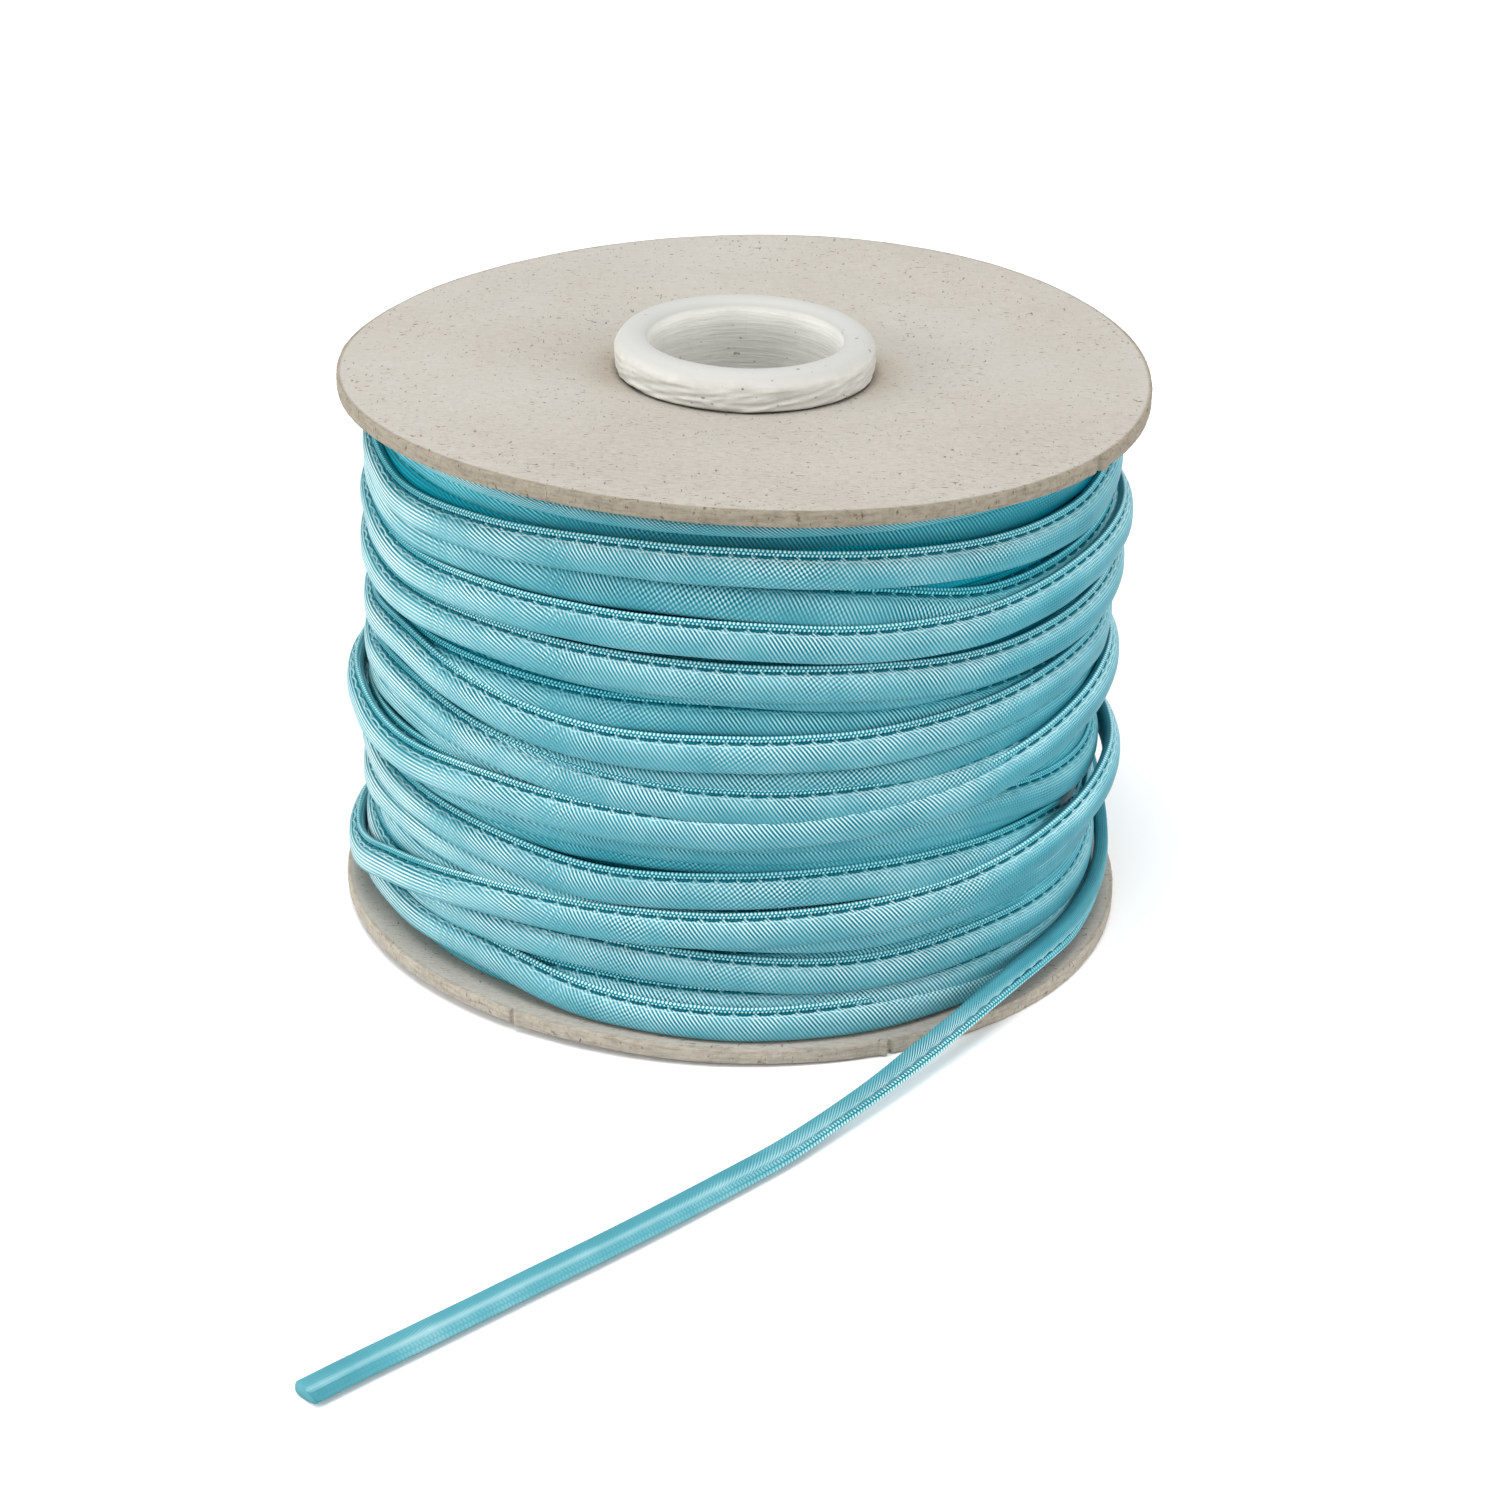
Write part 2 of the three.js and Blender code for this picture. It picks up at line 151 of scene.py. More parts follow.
# Each strand across the front, from the left side to the right: the height of its stitched edge and
# the radius of its outer face, each at equal steps of angle, and its width where that is its own
ROWS = {
    "A": {"edge": (68.9, 68.9), "radius": (46.6, 46.7, 46.8, 46.7, 46.4), "width": 2.3},
    "B": {"edge": (63.9, 63.05, 64.2, 65.4, 65.55, 64.55, 63.6, 63.4, 64.5),
     "radius": (47.0, 47.7, 48.0, 47.7, 47.0)},
    "C": {"edge": (62.2, 60.8, 61.2, 61.7, 61.6, 59.8, 56.9, 57.3, 58.4),
     "radius": (46.8, 46.5, 46.5, 46.5, 47.2), "width": 5.5},
    "D": {"edge": (57.2, 55.8, 56.3, 56.6, 56.5, 55.4, 55.3, 56.6, 57.4),
     "radius": (47.4, 47.8, 48.0, 48.0, 48.8)},
    "E": {"edge": (51.3, 51.2, 51.75, 51.65, 51.2, 50.55, 49.65, 50.15, 51.1),
     "radius": (47.6, 47.9, 48.0, 47.8, 48.2)},
    "F": {"edge": (52.0, 51.3, 51.0, 50.5, 50.0, 48.8, 48.7, 49.3, 50.0),
     "radius": (46.6, 46.8, 46.7, 46.6, 46.6)},
    "G": {"edge": (43.5, 45.0, 45.5, 45.6, 45.9, 45.1, 44.3, 44.0, 44.0),
     "radius": (46.2, 46.6, 46.3, 46.1, 46.0)},
    "H": {"edge": (43.4, 45.0, 43.1, 41.8, 42.15, 42.3, 43.0, 43.8, 43.4),
     "radius": (47.2, 47.8, 48.0, 47.7, 47.2)},
    "J": {"edge": (38.0, 39.2, 37.5, 36.1, 35.4, 35.4, 35.95, 36.7, 37.4),
     "radius": (47.1, 47.5, 47.7, 47.3, 46.8)},
    "K": {"edge": (32.3, 31.0, 32.0, 32.2, 32.4, 33.2, 34.6, 36.8, 38.4),
     "radius": (49.5, 48.3, 48.3, 48.1, 48.4)},
    "L": {"edge": (28.0, 28.5, 29.2, 29.6, 29.5, 29.4, 28.9, 28.0, 27.0),
     "radius": (46.2, 46.4, 46.4, 46.2, 46.0)},
    "M": {"edge": (25.5, 25.0, 24.4, 23.4, 24.1, 24.45, 24.0, 22.6, 18.8),
     "radius": (47.8, 47.5, 47.4, 46.9, 45.8)},
    "N": {"edge": (20.5, 21.6, 21.2, 20.0, 19.8, 19.5, 19.5, 19.5, 19.5),
     "radius": (47.6, 47.1, 46.8, 46.5, 46.0)},
    "O": {"edge": (10.2, 14.4, 17.3, 18.65, 19.3, 20.0, 20.9, 22.8, 24.7),
     "radius": (49.7, 48.2, 48.2, 48.2, 49.5)},
    "Q": {"edge": (14.0, 12.8, 13.6, 14.2, 13.35, 12.3, 12.65, 12.2, 12.2),
     "radius": (46.4, 47.3, 47.7, 47.3, 47.0)},
    "S": {"edge": (9.0, 9.4, 9.65, 7.55, 6.9, 6.9, 6.6, 5.9, 5.4), "radius": (48.0, 47.6, 48.8, 47.4, 47.0)},
    "A2": {"edge": (68.9, 68.6, 68.4, 68.6, 68.7, 68.0, 67.2, 67.6, 68.9),
     "radius": (45.2, 45.4, 45.0, 45.2, 45.2)},
    "I": {"edge": (39.3, 39.1, 38.5, 37.9, 38.2, 38.3, 38.8, 39.2, 39.4), "radius": (46.4, 46.7, 46.2)},
    "J3": {"edge": (35.4, 36.0, 34.9, 33.5, 33.0, 33.0, 33.5, 34.0, 35.0),
     "radius": (46.6, 46.5, 45.6, 45.2, 45.2)},
    "J2": {"edge": (29.4, 31.2, 31.9, 31.9, 31.3, 30.5, 30.0, 30.0, 30.0), "radius": (46.2, 46.4, 45.2)},
    "K2": {"edge": (31.0, 31.4, 31.9, 31.7, 31.4, 30.9, 30.4, 28.3, 26.7), "radius": (47.8, 47.0, 46.6)},
    "L2": {"edge": (27.8, 27.8), "radius": (45.6, 45.9, 45.2)},
    "N2": {"edge": (13.4, 13.8, 14.0, 14.0, 14.0, 14.0, 14.0, 14.0, 14.0), "radius": (47.4, 46.4, 46.0)},
    "P": {"edge": (18.0, 18.0, 18.1, 18.7, 18.6, 17.8, 18.4, 18.6, 18.6), "radius": (46.2, 47.4, 46.8)},
    "R": {"edge": (8.0, 8.4, 8.8, 9.2, 9.0, 8.6, 8.4, 8.4, 8.4), "radius": (46.2, 47.2, 46.9)},
    "T": {"edge": (6.6, 6.6), "radius": (45.5, 45.9, 46.4)},
}

# Runs of strands: which one runs on to which behind the roll, from a left end to the next one's right
# end, the radius that they settle to there and the step along them
RUNS = {
    "outer": {"names": "A B D E H J K O", "settled": 47.7, "step": FINE_STEP},
    "under": {"names": "A2 C F G I J2 L N N2 R T", "settled": 46.6, "step": RING_STEP},
    "middle": {"names": "K2 M P Q S", "settled": 46.9, "step": FINE_STEP},
    "single": {"names": "J3 L2", "settled": 45.9, "step": RING_STEP},
}
# Over what share of the way there they settle
SETTLE_SHARE = 0.3

# Ends of a run: over how many degrees they dive, and to what radius
TAIL_ANGLE = 70.0
TAIL_RADIUS = 44.6

# Room kept from the boards, and the least height that a strand is pressed to
BOARD_ROOM = 0.1
LEAST_TALL = 1.2

# Turns that lie deeper and fill the gaps
DEEP_RADIUS = 45.2
DEEP_TOP = 68.5
DEEP_BOTTOM = 6.6
DEEP_PITCH = 4.75
DEEP_STEP = 2.4
DEEP_SEED = 9
DEEP_RADIUS_SEED = 7

# The wound body under them, which has the cloth's look at one place round its section: the underside's
# painted shade colour
DRUM_RADIUS = 43.6
DRUM_AROUND = 8.0
DRUM_STEP = 5
DRUM_GAP = 0.3
DRUM_SHOULDER = 3

# At the back right the loose end comes out from between the turns, its stitched edge downward: the
# height and radius of its middle
LEAD_ANGLES = (-185, -205, -222, -236, -245, -251)
LEAD_CENTRES = (18.0, 18.2, 18.4, 18.1, 16.9, 15.2)
LEAD_RADII = (44.2, 45.9, 47.5, 48.3, 48.35, 48.2)
LEAD_STEP = 0.75

# Route of the loose end's centre, as in the part's source, and how far its stitched edge leans
# below level, in degrees
LOOSE_END = (
    (45.6, 15.6, 15.2, 86), (47.1, 10.6, 12.6, 86), (48.0, 5.0, 10.0, 86), (48.3, -0.5, 7.9, 86),
    (48.0, -6.0, 6.5, 84), (46.9, -12.0, 5.8, 80), (45.1, -18.0, 5.4, 74), (42.7, -24.0, 5.1, 67),
    (39.5, -29.8, 4.9, 59), (35.8, -35.6, 4.7, 50), (31.8, -41.4, 4.3, 42), (27.6, -47.1, 3.8, 34),
    (23.2, -52.8, 3.2, 27), (18.4, -58.6, 2.6, 20), (13.0, -64.4, 2.1, 13), (6.9, -70.3, 1.6, 7),
    (-0.2, -77.0, 1.35, 3), (-7.2, -83.8, 1.3, 0), (-13.4, -90.1, 1.3, 0), (-19.4, -96.3, 1.3, 0),
    (-25.2, -102.1, 1.3, 0), (-30.9, -107.9, 1.3, 0), (-36.4, -113.4, 1.3, 0), (-41.6, -118.6, 1.3, 0),
)
LOOSE_STEPS = 320

# Width of the loose end at each point of its route, and how far it lies towards its stitched edge
LOOSE_SHAPE = (
    (4.1, 0.0), (4.1, -0.05), (4.0, -0.1), (3.9, -0.2), (3.8, -0.3), (3.7, -0.4),
    (3.5, -0.65), (3.3, -0.85), (3.1, -1.05), (2.95, -1.15), (2.85, -1.15), (2.8, -1.05),
    (2.9, -1.02), (2.75, -0.83), (2.8, -0.45), (3.3, 0.25), (3.6, 0.66), (3.7, 0.92),
    (3.65, 0.82), (3.65, 0.5), (3.65, 0.37), (3.7, 0.13), (3.7, -0.05), (3.7, -0.1),
)

# From where to where along the object's y, in metres, the loose end's stitching is worn away
WORN_Y = (-0.085, -0.052)

# Camera, fitted to the photograph
CAMERA_PLACE = (0.0, -421.0, 221.0)
CAMERA_YAW = 0.0049
CAMERA_PITCH = 0.4493
CAMERA_ROLL = 0.0305
CAMERA_LENS = 86.75
SENSOR = 36.0
CAMERA_CLIP = (0.01, 20)


# Camera and stage


def make_camera():
    right = np.array([math.cos(CAMERA_YAW), -math.sin(CAMERA_YAW), 0.0])
    level = math.cos(CAMERA_PITCH)
    ahead = np.array([math.sin(CAMERA_YAW) * level, math.cos(CAMERA_YAW) * level, -math.sin(CAMERA_PITCH)])
    up = np.cross(right, ahead)
    turn = math.cos(CAMERA_ROLL), math.sin(CAMERA_ROLL)
    rolled_right = right * turn[0] + up * turn[1]
    rolled_up = up * turn[0] - right * turn[1]
    data = bpy.data.cameras.new("camera")
    data.lens = CAMERA_LENS
    data.sensor_width = SENSOR
    data.clip_start, data.clip_end = CAMERA_CLIP
    camera = bpy.data.objects.new("camera", data)
    columns = [*zip(rolled_right, rolled_up, -ahead, np.array(CAMERA_PLACE) * MM)]
    camera.matrix_world = Matrix([[float(x) for x in row] for row in columns] + [[0, 0, 0, 1]])
    bpy.context.scene.collection.objects.link(camera)
    bpy.context.scene.camera = camera


make_camera()


# Meshes


def make_object(name, vertices, faces, uvs=None, slot=None):
    """A smooth mesh, which rides on the part if it has a slot. vertices are in millimetres, uvs one
    pair a face corner."""
    mesh = bpy.data.meshes.new(name)
    mesh.from_pydata((np.asarray(vertices) * MM).tolist(), [], [list(face) for face in faces])
    if uvs is not None:
        mesh.uv_layers.new(name="cloth").uv.foreach_set("vector", np.asarray(uvs, np.float32).ravel())
    mesh.polygons.foreach_set("use_smooth", [True] * len(mesh.polygons))
    mesh.update()
    made = bpy.data.objects.new(name, mesh)
    bpy.context.scene.collection.objects.link(made)
    if slot:
        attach(made, "root")
    return made


def joined(parts):
    """Several (vertices, faces, uvs) as one."""
    vertices, faces, uvs = [], [], []
    first = 0
    for part_vertices, part_faces, part_uvs in parts:
        vertices.append(part_vertices)
        faces.extend([[i + first for i in face] for face in part_faces])
        uvs.append(part_uvs)
        first += len(part_vertices)
    return np.concatenate(vertices), faces, np.concatenate(uvs)


def tube(places, along, around):
    """A closed tube. places is rings x sides x 3, and along and around give each corner's length
    and its way round the section, for the cloth's coordinates."""
    rings, sides = places.shape[:2]
    ring = np.arange(rings - 1)[:, None]
    side = np.arange(sides)[None, :]
    after = (side + 1) % sides
    this, following = ring * sides, (ring + 1) * sides
    corners = np.stack([this + side, following + side, following + after, this + after], axis=-1)
    u = np.stack([along[ring], along[ring + 1], along[ring + 1], along[ring]], -1)
    u = np.broadcast_to(u, (rings - 1, sides, 4))
    v = np.stack([around[side], around[side], around[side + 1], around[side + 1]], -1)
    v = np.broadcast_to(v, (rings - 1, sides, 4))
    first_ring = places[0] - places[0].mean(0)
    facing = np.cross(first_ring, np.roll(first_ring, -1, axis=0)).sum(0)
    reverse = facing @ (places[1] - places[0]).mean(0) > 0
    if reverse:
        corners, u, v = corners[..., ::-1], u[..., ::-1], v[..., ::-1]
    quads = corners.reshape(-1, 4).tolist()
    uvs = np.stack([u, v], -1).reshape(-1, 2)
    centres = [places[0].mean(0)[None], places[-1].mean(0)[None]]
    vertices = np.concatenate([places.reshape(-1, 3), *centres])
    first_centre, last_centre = rings * sides, rings * sides + 1
    caps, cap_uvs = [], []
    for centre, base, turned, length in (
        (first_centre, 0, reverse, along[0]),
        (last_centre, (rings - 1) * sides, not reverse, along[-1]),
    ):
        for i in range(sides):
            pair = [base + i, base + (i + 1) % sides]
            caps.append([centre, *(pair[::-1] if turned else pair)])
            cap_uvs.extend([(length, around[i])] * 3)
    return vertices, quads + caps, np.concatenate([uvs, np.array(cap_uvs)])


def round_solid(places):
    """Vertices and faces of a ring-shaped solid. places is steps round x points of its section x 3."""
    steps, sides = places.shape[:2]
    a = np.arange(steps)[:, None] * sides
    b = ((np.arange(steps) + 1) % steps)[:, None] * sides
    j = np.arange(sides)[None, :]
    k = (j + 1) % sides
    faces = np.stack([a + j, b + j, b + k, a + k], -1).reshape(-1, 4).tolist()
    return places.reshape(-1, 3), faces


# Curves and lines


def around_axis(radius, angle, height):
    turn = np.radians(angle)
    return np.stack(np.broadcast_arrays(radius * np.sin(turn), -radius * np.cos(turn), height), -1)


def unit(vectors):
    return vectors / np.linalg.norm(vectors, axis=1)[:, None]


def lengths(points):
    """Length of a line up to each of its points."""
    return np.concatenate([[0], np.cumsum(np.linalg.norm(np.diff(points, axis=0), axis=1))])


def smooth(t):
    t = np.clip(t, 0, 1)
    return t * t * (3 - 2 * t)


def smooth_through(knots, figures, at):
    """A smooth curve through figures at unevenly spaced knots."""
    slopes = np.gradient(figures, knots)
    i = np.clip(np.searchsorted(knots, at, side="right") - 1, 0, len(knots) - 2)
    span = knots[i + 1] - knots[i]
    t = (at - knots[i]) / span
    return (
        (2 * t**3 - 3 * t**2 + 1) * figures[i]
        + (t**3 - 2 * t**2 + t) * span * slopes[i]
        + (3 * t**2 - 2 * t**3) * figures[i + 1]
        + (t**3 - t**2) * span * slopes[i + 1]
    )


def wobble(kind, x, seed):
    """A gentle wave along x that doesn't repeat itself."""
    reach, period, count = WAVES[kind]
    draw = np.random.default_rng(seed)
    waves = [
        np.sin(2 * math.pi * x / (period * draw.uniform(*WAVE_SPREAD)) + draw.uniform(0, 2 * math.pi))
        for _ in range(count)
    ]
    return reach * (sum(waves) / count)


def top_warp(angle):
    compass = np.radians(angle - 90)
    return (
        TOP_WARP["tilt_x"] * np.cos(compass)
        + TOP_WARP["saddle"] * np.sin(2 * compass)
        + TOP_WARP["cross"] * np.cos(2 * compass)
    )


def base_warp(angle):
    return BASE_WARP["lift"] + BASE_WARP["saddle"] * np.sin(2 * np.radians(angle - 90))


def warp_share(radius):
    return smooth((radius - DISC_FLAT_RADIUS) / (DISC_RADIUS - DISC_FLAT_RADIUS))


def dish(radius):
    """How far the top board dips towards the core."""
    return DISH_DEPTH * smooth((DISH_RADIUS - radius) / (DISH_RADIUS - DISH_FLAT_RADIUS))


# The cord


def along_front(figures, angle):
    """Value of a strand's figures at angles across the front, by a smooth curve through them."""
    figures = np.asarray(figures, float)
    last = len(figures) - 1
    place = np.clip((angle + FRONT_REACH) * last / (2 * FRONT_REACH), 0, last)
    i = np.minimum(place.astype(int), last - 1)
    t = place - i
    here, there = figures[i], figures[i + 1]
    rise = (there - figures[np.maximum(i - 1, 0)]) / 2
    bend = (figures[np.minimum(i + 2, last)] - here) / 2
    gap = there - here
    return here + t * (rise + t * (3 * gap - 2 * rise - bend + t * (rise + bend - 2 * gap)))


def turns_of(names, settled_radius, ring_step):
    """Angle, stitched edge, outer radius and width of a run of strands: angle falls from the first
    one's right end, and each strand goes once round to the next one's right end. Behind the roll
    it settles to a radius of its own."""
    step = math.degrees(ring_step / DEEP_RADIUS)
    front_angles = np.arange(FRONT_REACH, -FRONT_REACH, -step)
    back = np.arange(0, 1, step / (360 - 2 * FRONT_REACH))
    share = smooth(back)
    angle, edge, radius, width = [], [], [], []
    for number, name in enumerate(names):
        row = ROWS[name]
        lap = -360.0 * number
        row_width = row.get("width", CORD_WIDTH)
        angle.append(front_angles + lap)
        edge.append(along_front(row["edge"], front_angles))
        radius.append(along_front(row["radius"], front_angles))
        width.append(np.full(len(front_angles), row_width))
        if number + 1 < len(names):
            following = ROWS[names[number + 1]]
            next_width = following.get("width", CORD_WIDTH)
            angle.append(lap - FRONT_REACH - back * (360 - 2 * FRONT_REACH))
            edge.append(row["edge"][0] + share * (following["edge"][-1] - row["edge"][0]))
            ends = row["radius"][0] + share * (following["radius"][-1] - row["radius"][0])
            settled = smooth(back / SETTLE_SHARE) * smooth((1 - back) / SETTLE_SHARE)
            radius.append(ends + settled * (settled_radius - ends))
            width.append(row_width + share * (next_width - row_width))
    return [np.concatenate(values) for values in (angle, edge, radius, width)]


def with_tails(angle, edge, radius, width):
    """The same run with ends that dive under their neighbours."""
    step = angle[0] - angle[1]
    way = np.arange(step, TAIL_ANGLE, step)
    share = smooth(way / TAIL_ANGLE)
    same = np.ones(len(way))
    head = (radius[0] + share * (TAIL_RADIUS - radius[0]))[::-1]
    foot = radius[-1] + share * (TAIL_RADIUS - radius[-1])
    return (
        np.concatenate([(angle[0] + way)[::-1], angle, angle[-1] - way]),
        np.concatenate([same * edge[0], edge, same * edge[-1]]),
        np.concatenate([head, radius, foot]),
        np.concatenate([same * width[0], width, same * width[-1]]),
    )


def held_between_discs(angle, edge, radius, width):
    """Keeps a strand clear of both discs by pressing it flatter."""
    centre_radius = radius - CORD_THICKNESS / 2
    share = warp_share(centre_radius)
    roof = DISC_TOP_FACE - BOARD + share * top_warp(angle) - BOARD_ROOM
    ground = BOARD + share * base_warp(angle) + BOARD_ROOM
    top = np.minimum(edge, roof)
    bottom = np.maximum(edge - width, ground)
    bottom = np.minimum(bottom, top - LEAST_TALL)
    return top, top - bottom


def strand_frames(angle, edge, radius, width, seed):
    """Line and directions of a strand on the roll, taken at the stitched edge's top on the outer
    face."""
    top, tall = held_between_discs(angle, edge, radius, width)
    out = around_axis(1.0, angle, 0.0)
    corner = around_axis(radius, angle, top)
    along = unit(np.gradient(corner, axis=0))
    length = lengths(corner)
    lean = np.radians(wobble("slow_lean", length, seed) + wobble("quick_lean", length, seed + 50))[:, None]
    up = np.cross(out, along)
    up = unit(up * np.sign(up[:, 2:3]))
    leaned_up = up * np.cos(lean) + out * np.sin(lean)
    leaned_out = out * np.cos(lean) - up * np.sin(lean)
    return corner, along, leaned_up, leaned_out, length, tall / CORD_WIDTH


def section_around():
    """Way round the section at each of its points and back at the first."""
    return lengths(np.array([*SECTION, SECTION[0]]))


def scallop(length):
    """How far each stitch pulls the cloth in: 1 at its middle and -1 between stitches."""
    return -np.cos(2 * math.pi * length / STITCH_PITCH)


def strand(frames):
    """The cord along frames taken at its stitched edge's top."""
    corner, _, up, out, length, tall = frames
    section = np.array(SECTION)
    drop = section[None, :, 0] * tall[:, None]
    depth = np.broadcast_to(section[None, :, 1], drop.shape)
    pull = scallop(length)[:, None] * np.array(SCALLOP_SHARE)[None, :]
    drop = drop + SCALLOP_DROP * pull
    depth = depth + SCALLOP_DEPTH * pull
    places = corner[:, None] - drop[..., None] * up[:, None] - depth[..., None] * out[:, None]
    return tube(places, length, section_around())


def stitches(frames):
    """Small thread lumps along the stitch line of one strand."""
    corner, _, up, out, length, tall = frames
    first = (math.ceil(length[0] / STITCH_PITCH) + 0.5) * STITCH_PITCH
    centres = np.arange(first, length[-1] - STITCH_PITCH / 2, STITCH_PITCH)
    line = corner - STITCH_DROP * tall[:, None] * up - STITCH_DEPTH * out
    places_along, thickness = np.array(STITCH_STATIONS).T

    def sample(values, at):
        return np.stack([np.interp(at, length, values[:, axis]) for axis in range(3)], -1)

    parts = []
    turn = np.arange(STITCH_SIDES) * 2 * math.pi / STITCH_SIDES
    thick = (thickness * STITCH_THICK / 2)[:, None, None]
    for centre in centres:
        at = centre + places_along * STITCH_LENGTH
        base, rise, away = sample(line, at), sample(up, at), sample(out, at)
        places = (
            base[:, None]
            + thick * np.cos(turn)[None, :, None] * rise[:, None]
            + thick * np.sin(turn)[None, :, None] * away[:, None]
        )
        parts.append(tube(places, at, np.linspace(0, 1, STITCH_SIDES + 1)))
    return joined(parts)


def deep_turns():
    """Angle, stitched edge, radius and width of the turns that lie deeper."""
    turns = (DEEP_TOP - DEEP_BOTTOM) / DEEP_PITCH
    angle = np.arange(0, turns * 360, DEEP_STEP) - 180
    edge = DEEP_TOP - (angle + 180) / 360 * DEEP_PITCH
    radius = DEEP_RADIUS + wobble("deep_radius", angle, DEEP_RADIUS_SEED)
    return -angle, edge, radius, np.full(len(angle), CORD_WIDTH)


def drum():
    """The wound body under the deepest turns that show."""
    low = BOARD + DRUM_GAP
    high = DISC_TOP_FACE - BOARD - DRUM_GAP
    section = (
        (HOLE_RADIUS, low), (DRUM_RADIUS, low), (DRUM_RADIUS, high),
        (DISH_RADIUS + DRUM_SHOULDER, high), (HOLE_RADIUS, high - DISH_DEPTH),
    )
    angle = np.arange(0, 360, DRUM_STEP)
    vertices, faces = round_solid(np.stack([around_axis(radius, angle, z) for radius, z in section], 1))
    return vertices, faces, np.full((len(faces) * 4, 2), DRUM_AROUND)


def lead_frames():
    """Line and directions of the strand that runs on into the loose end, taken at its middle."""
    knots = -np.array(LEAD_ANGLES, float)
    angles = np.arange(knots[0], knots[-1] + 1e-6, LEAD_STEP)
    height, radius = (
        smooth_through(knots, np.array(figures, float), angles) for figures in (LEAD_CENTRES, LEAD_RADII)
    )
    outward = around_axis(1.0, -angles, 0.0)
    centre = around_axis(radius, -angles, height)
    along = unit(np.gradient(centre, axis=0))
    edge_way = unit(np.cross(outward, along))
    edge_way *= -np.sign(edge_way[:, 2:3])
    length = lengths(centre)
    return centre, along, edge_way, np.cross(along, edge_way), length - length[-1]


def centred_strand(centre, up, out, length, width, worn=0.0):
    """A strand whose frame is taken at its middle. Where it is worn the crease is pressed out."""
    section = np.array(SECTION)
    width = np.broadcast_to(width, length.shape)[:, None]
    across = (CORD_WIDTH / 2 - np.interp(section[:, 0], *LOOSE_DROPS)) / CORD_WIDTH
    worn = np.broadcast_to(worn, length.shape)[:, None]
    depth = section[None, :, 1] + worn * (np.array(WORN_DEPTH)[None, :] - section[None, :, 1])
    pull = (1 - worn) * scallop(length)[:, None] * np.array(SCALLOP_SHARE)[None, :]
    across = width * across[None, :] - SCALLOP_DROP * pull
    through = LOOSE_PRESSED * (CORD_THICKNESS - depth - SCALLOP_DEPTH * pull) - CORD_THICKNESS / 2
    places = centre[:, None] + across[..., None] * up[:, None] + through[..., None] * out[:, None]
    return tube(places, length, section_around())


def loose_frames():
    """Line, directions, length and width of the loose end, taken at its middle."""
    table = np.array(LOOSE_END, float)
    knots = lengths(table[:, :3])
    at = np.linspace(0, knots[-1], LOOSE_STEPS)
    centre = np.stack([smooth_through(knots, table[:, axis], at) for axis in range(3)], -1)
    tilt = np.radians(smooth_through(knots, table[:, 3], at))[:, None]
    along = unit(np.gradient(centre, axis=0))
    level = unit(np.stack([-along[:, 1], along[:, 0], 0 * at], -1))
    edge_way = level * np.cos(tilt) - np.array([0.0, 0.0, 1.0]) * np.sin(tilt)
    edge_way = unit(edge_way - along * (edge_way * along).sum(1)[:, None])
    out = np.cross(along, edge_way)
    width, shift = (smooth_through(knots, column, at) for column in np.array(LOOSE_SHAPE).T)
    centre = centre + edge_way * shift[:, None]
    return centre, along, edge_way, out, lengths(centre), width


def make_loose_end():
    centre, along, edge_way, out, length, width = loose_frames()
    worn = smooth((WORN_Y[1] / MM - centre[:, 1]) / (WORN_Y[1] - WORN_Y[0]) * MM)
    tube_parts = centred_strand(centre, edge_way, out, length, width, worn)
    made = make_object("loose_cord", *tube_parts, "satin")
    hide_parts("loose_end")
    return made


def corner_frames(centre, along, up, out, length, width):
    """Frames taken at the middle turned into frames at the stitched edge's top on the outer face."""
    width = np.broadcast_to(width, length.shape)
    depth = CORD_THICKNESS / 2 - (1 - LOOSE_PRESSED) * (CORD_THICKNESS - STITCH_DEPTH)
    corner = centre + up * width[:, None] / 2 + out * depth
    further_in = np.interp(STITCH_DROP, *LOOSE_DROPS) / STITCH_DROP
    return corner, along, up, out, length, further_in * width / CORD_WIDTH


loose_cord = make_loose_end()


def make_wound_cord():
    """The turns of the roll and their stitches."""
    frames = {}
    for seed, (name, run) in enumerate(RUNS.items()):
        turns = turns_of(run["names"].split(), run["settled"], run["step"])
        frames[name] = strand_frames(*with_tails(*turns), seed)
    lead_width = LOOSE_SHAPE[0][0]
    lead = lead_frames()
    centre, _, edge_way, out, length = lead
    pieces = {
        "cord_outer": [strand(frames["outer"]), centred_strand(centre, edge_way, out, length, lead_width)],
        "cord_under": [strand(frames["under"])],
        "cord_middle": [strand(frames["middle"]), strand(frames["single"])],
        "cord_deep": [strand(strand_frames(*deep_turns(), DEEP_SEED)), drum()],
    }
    made = [make_object(name, *joined(parts), "satin") for name, parts in pieces.items()]
    sewn_frames = {
        "stitches_outer": (frames["outer"], corner_frames(*lead, lead_width), corner_frames(*loose_frames())),
        "stitches_under": (frames["under"], frames["middle"]),
    }
    sewn = [
        make_object(name, *joined([stitches(each) for each in rows]), "satin")
        for name, rows in sewn_frames.items()
    ]
    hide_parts("winding")
    return made, sewn


wound, sewn = make_wound_cord()


# Spool


def hump(x, height, middle, width):
    return height * np.exp(-((x - middle) / width) ** 2)


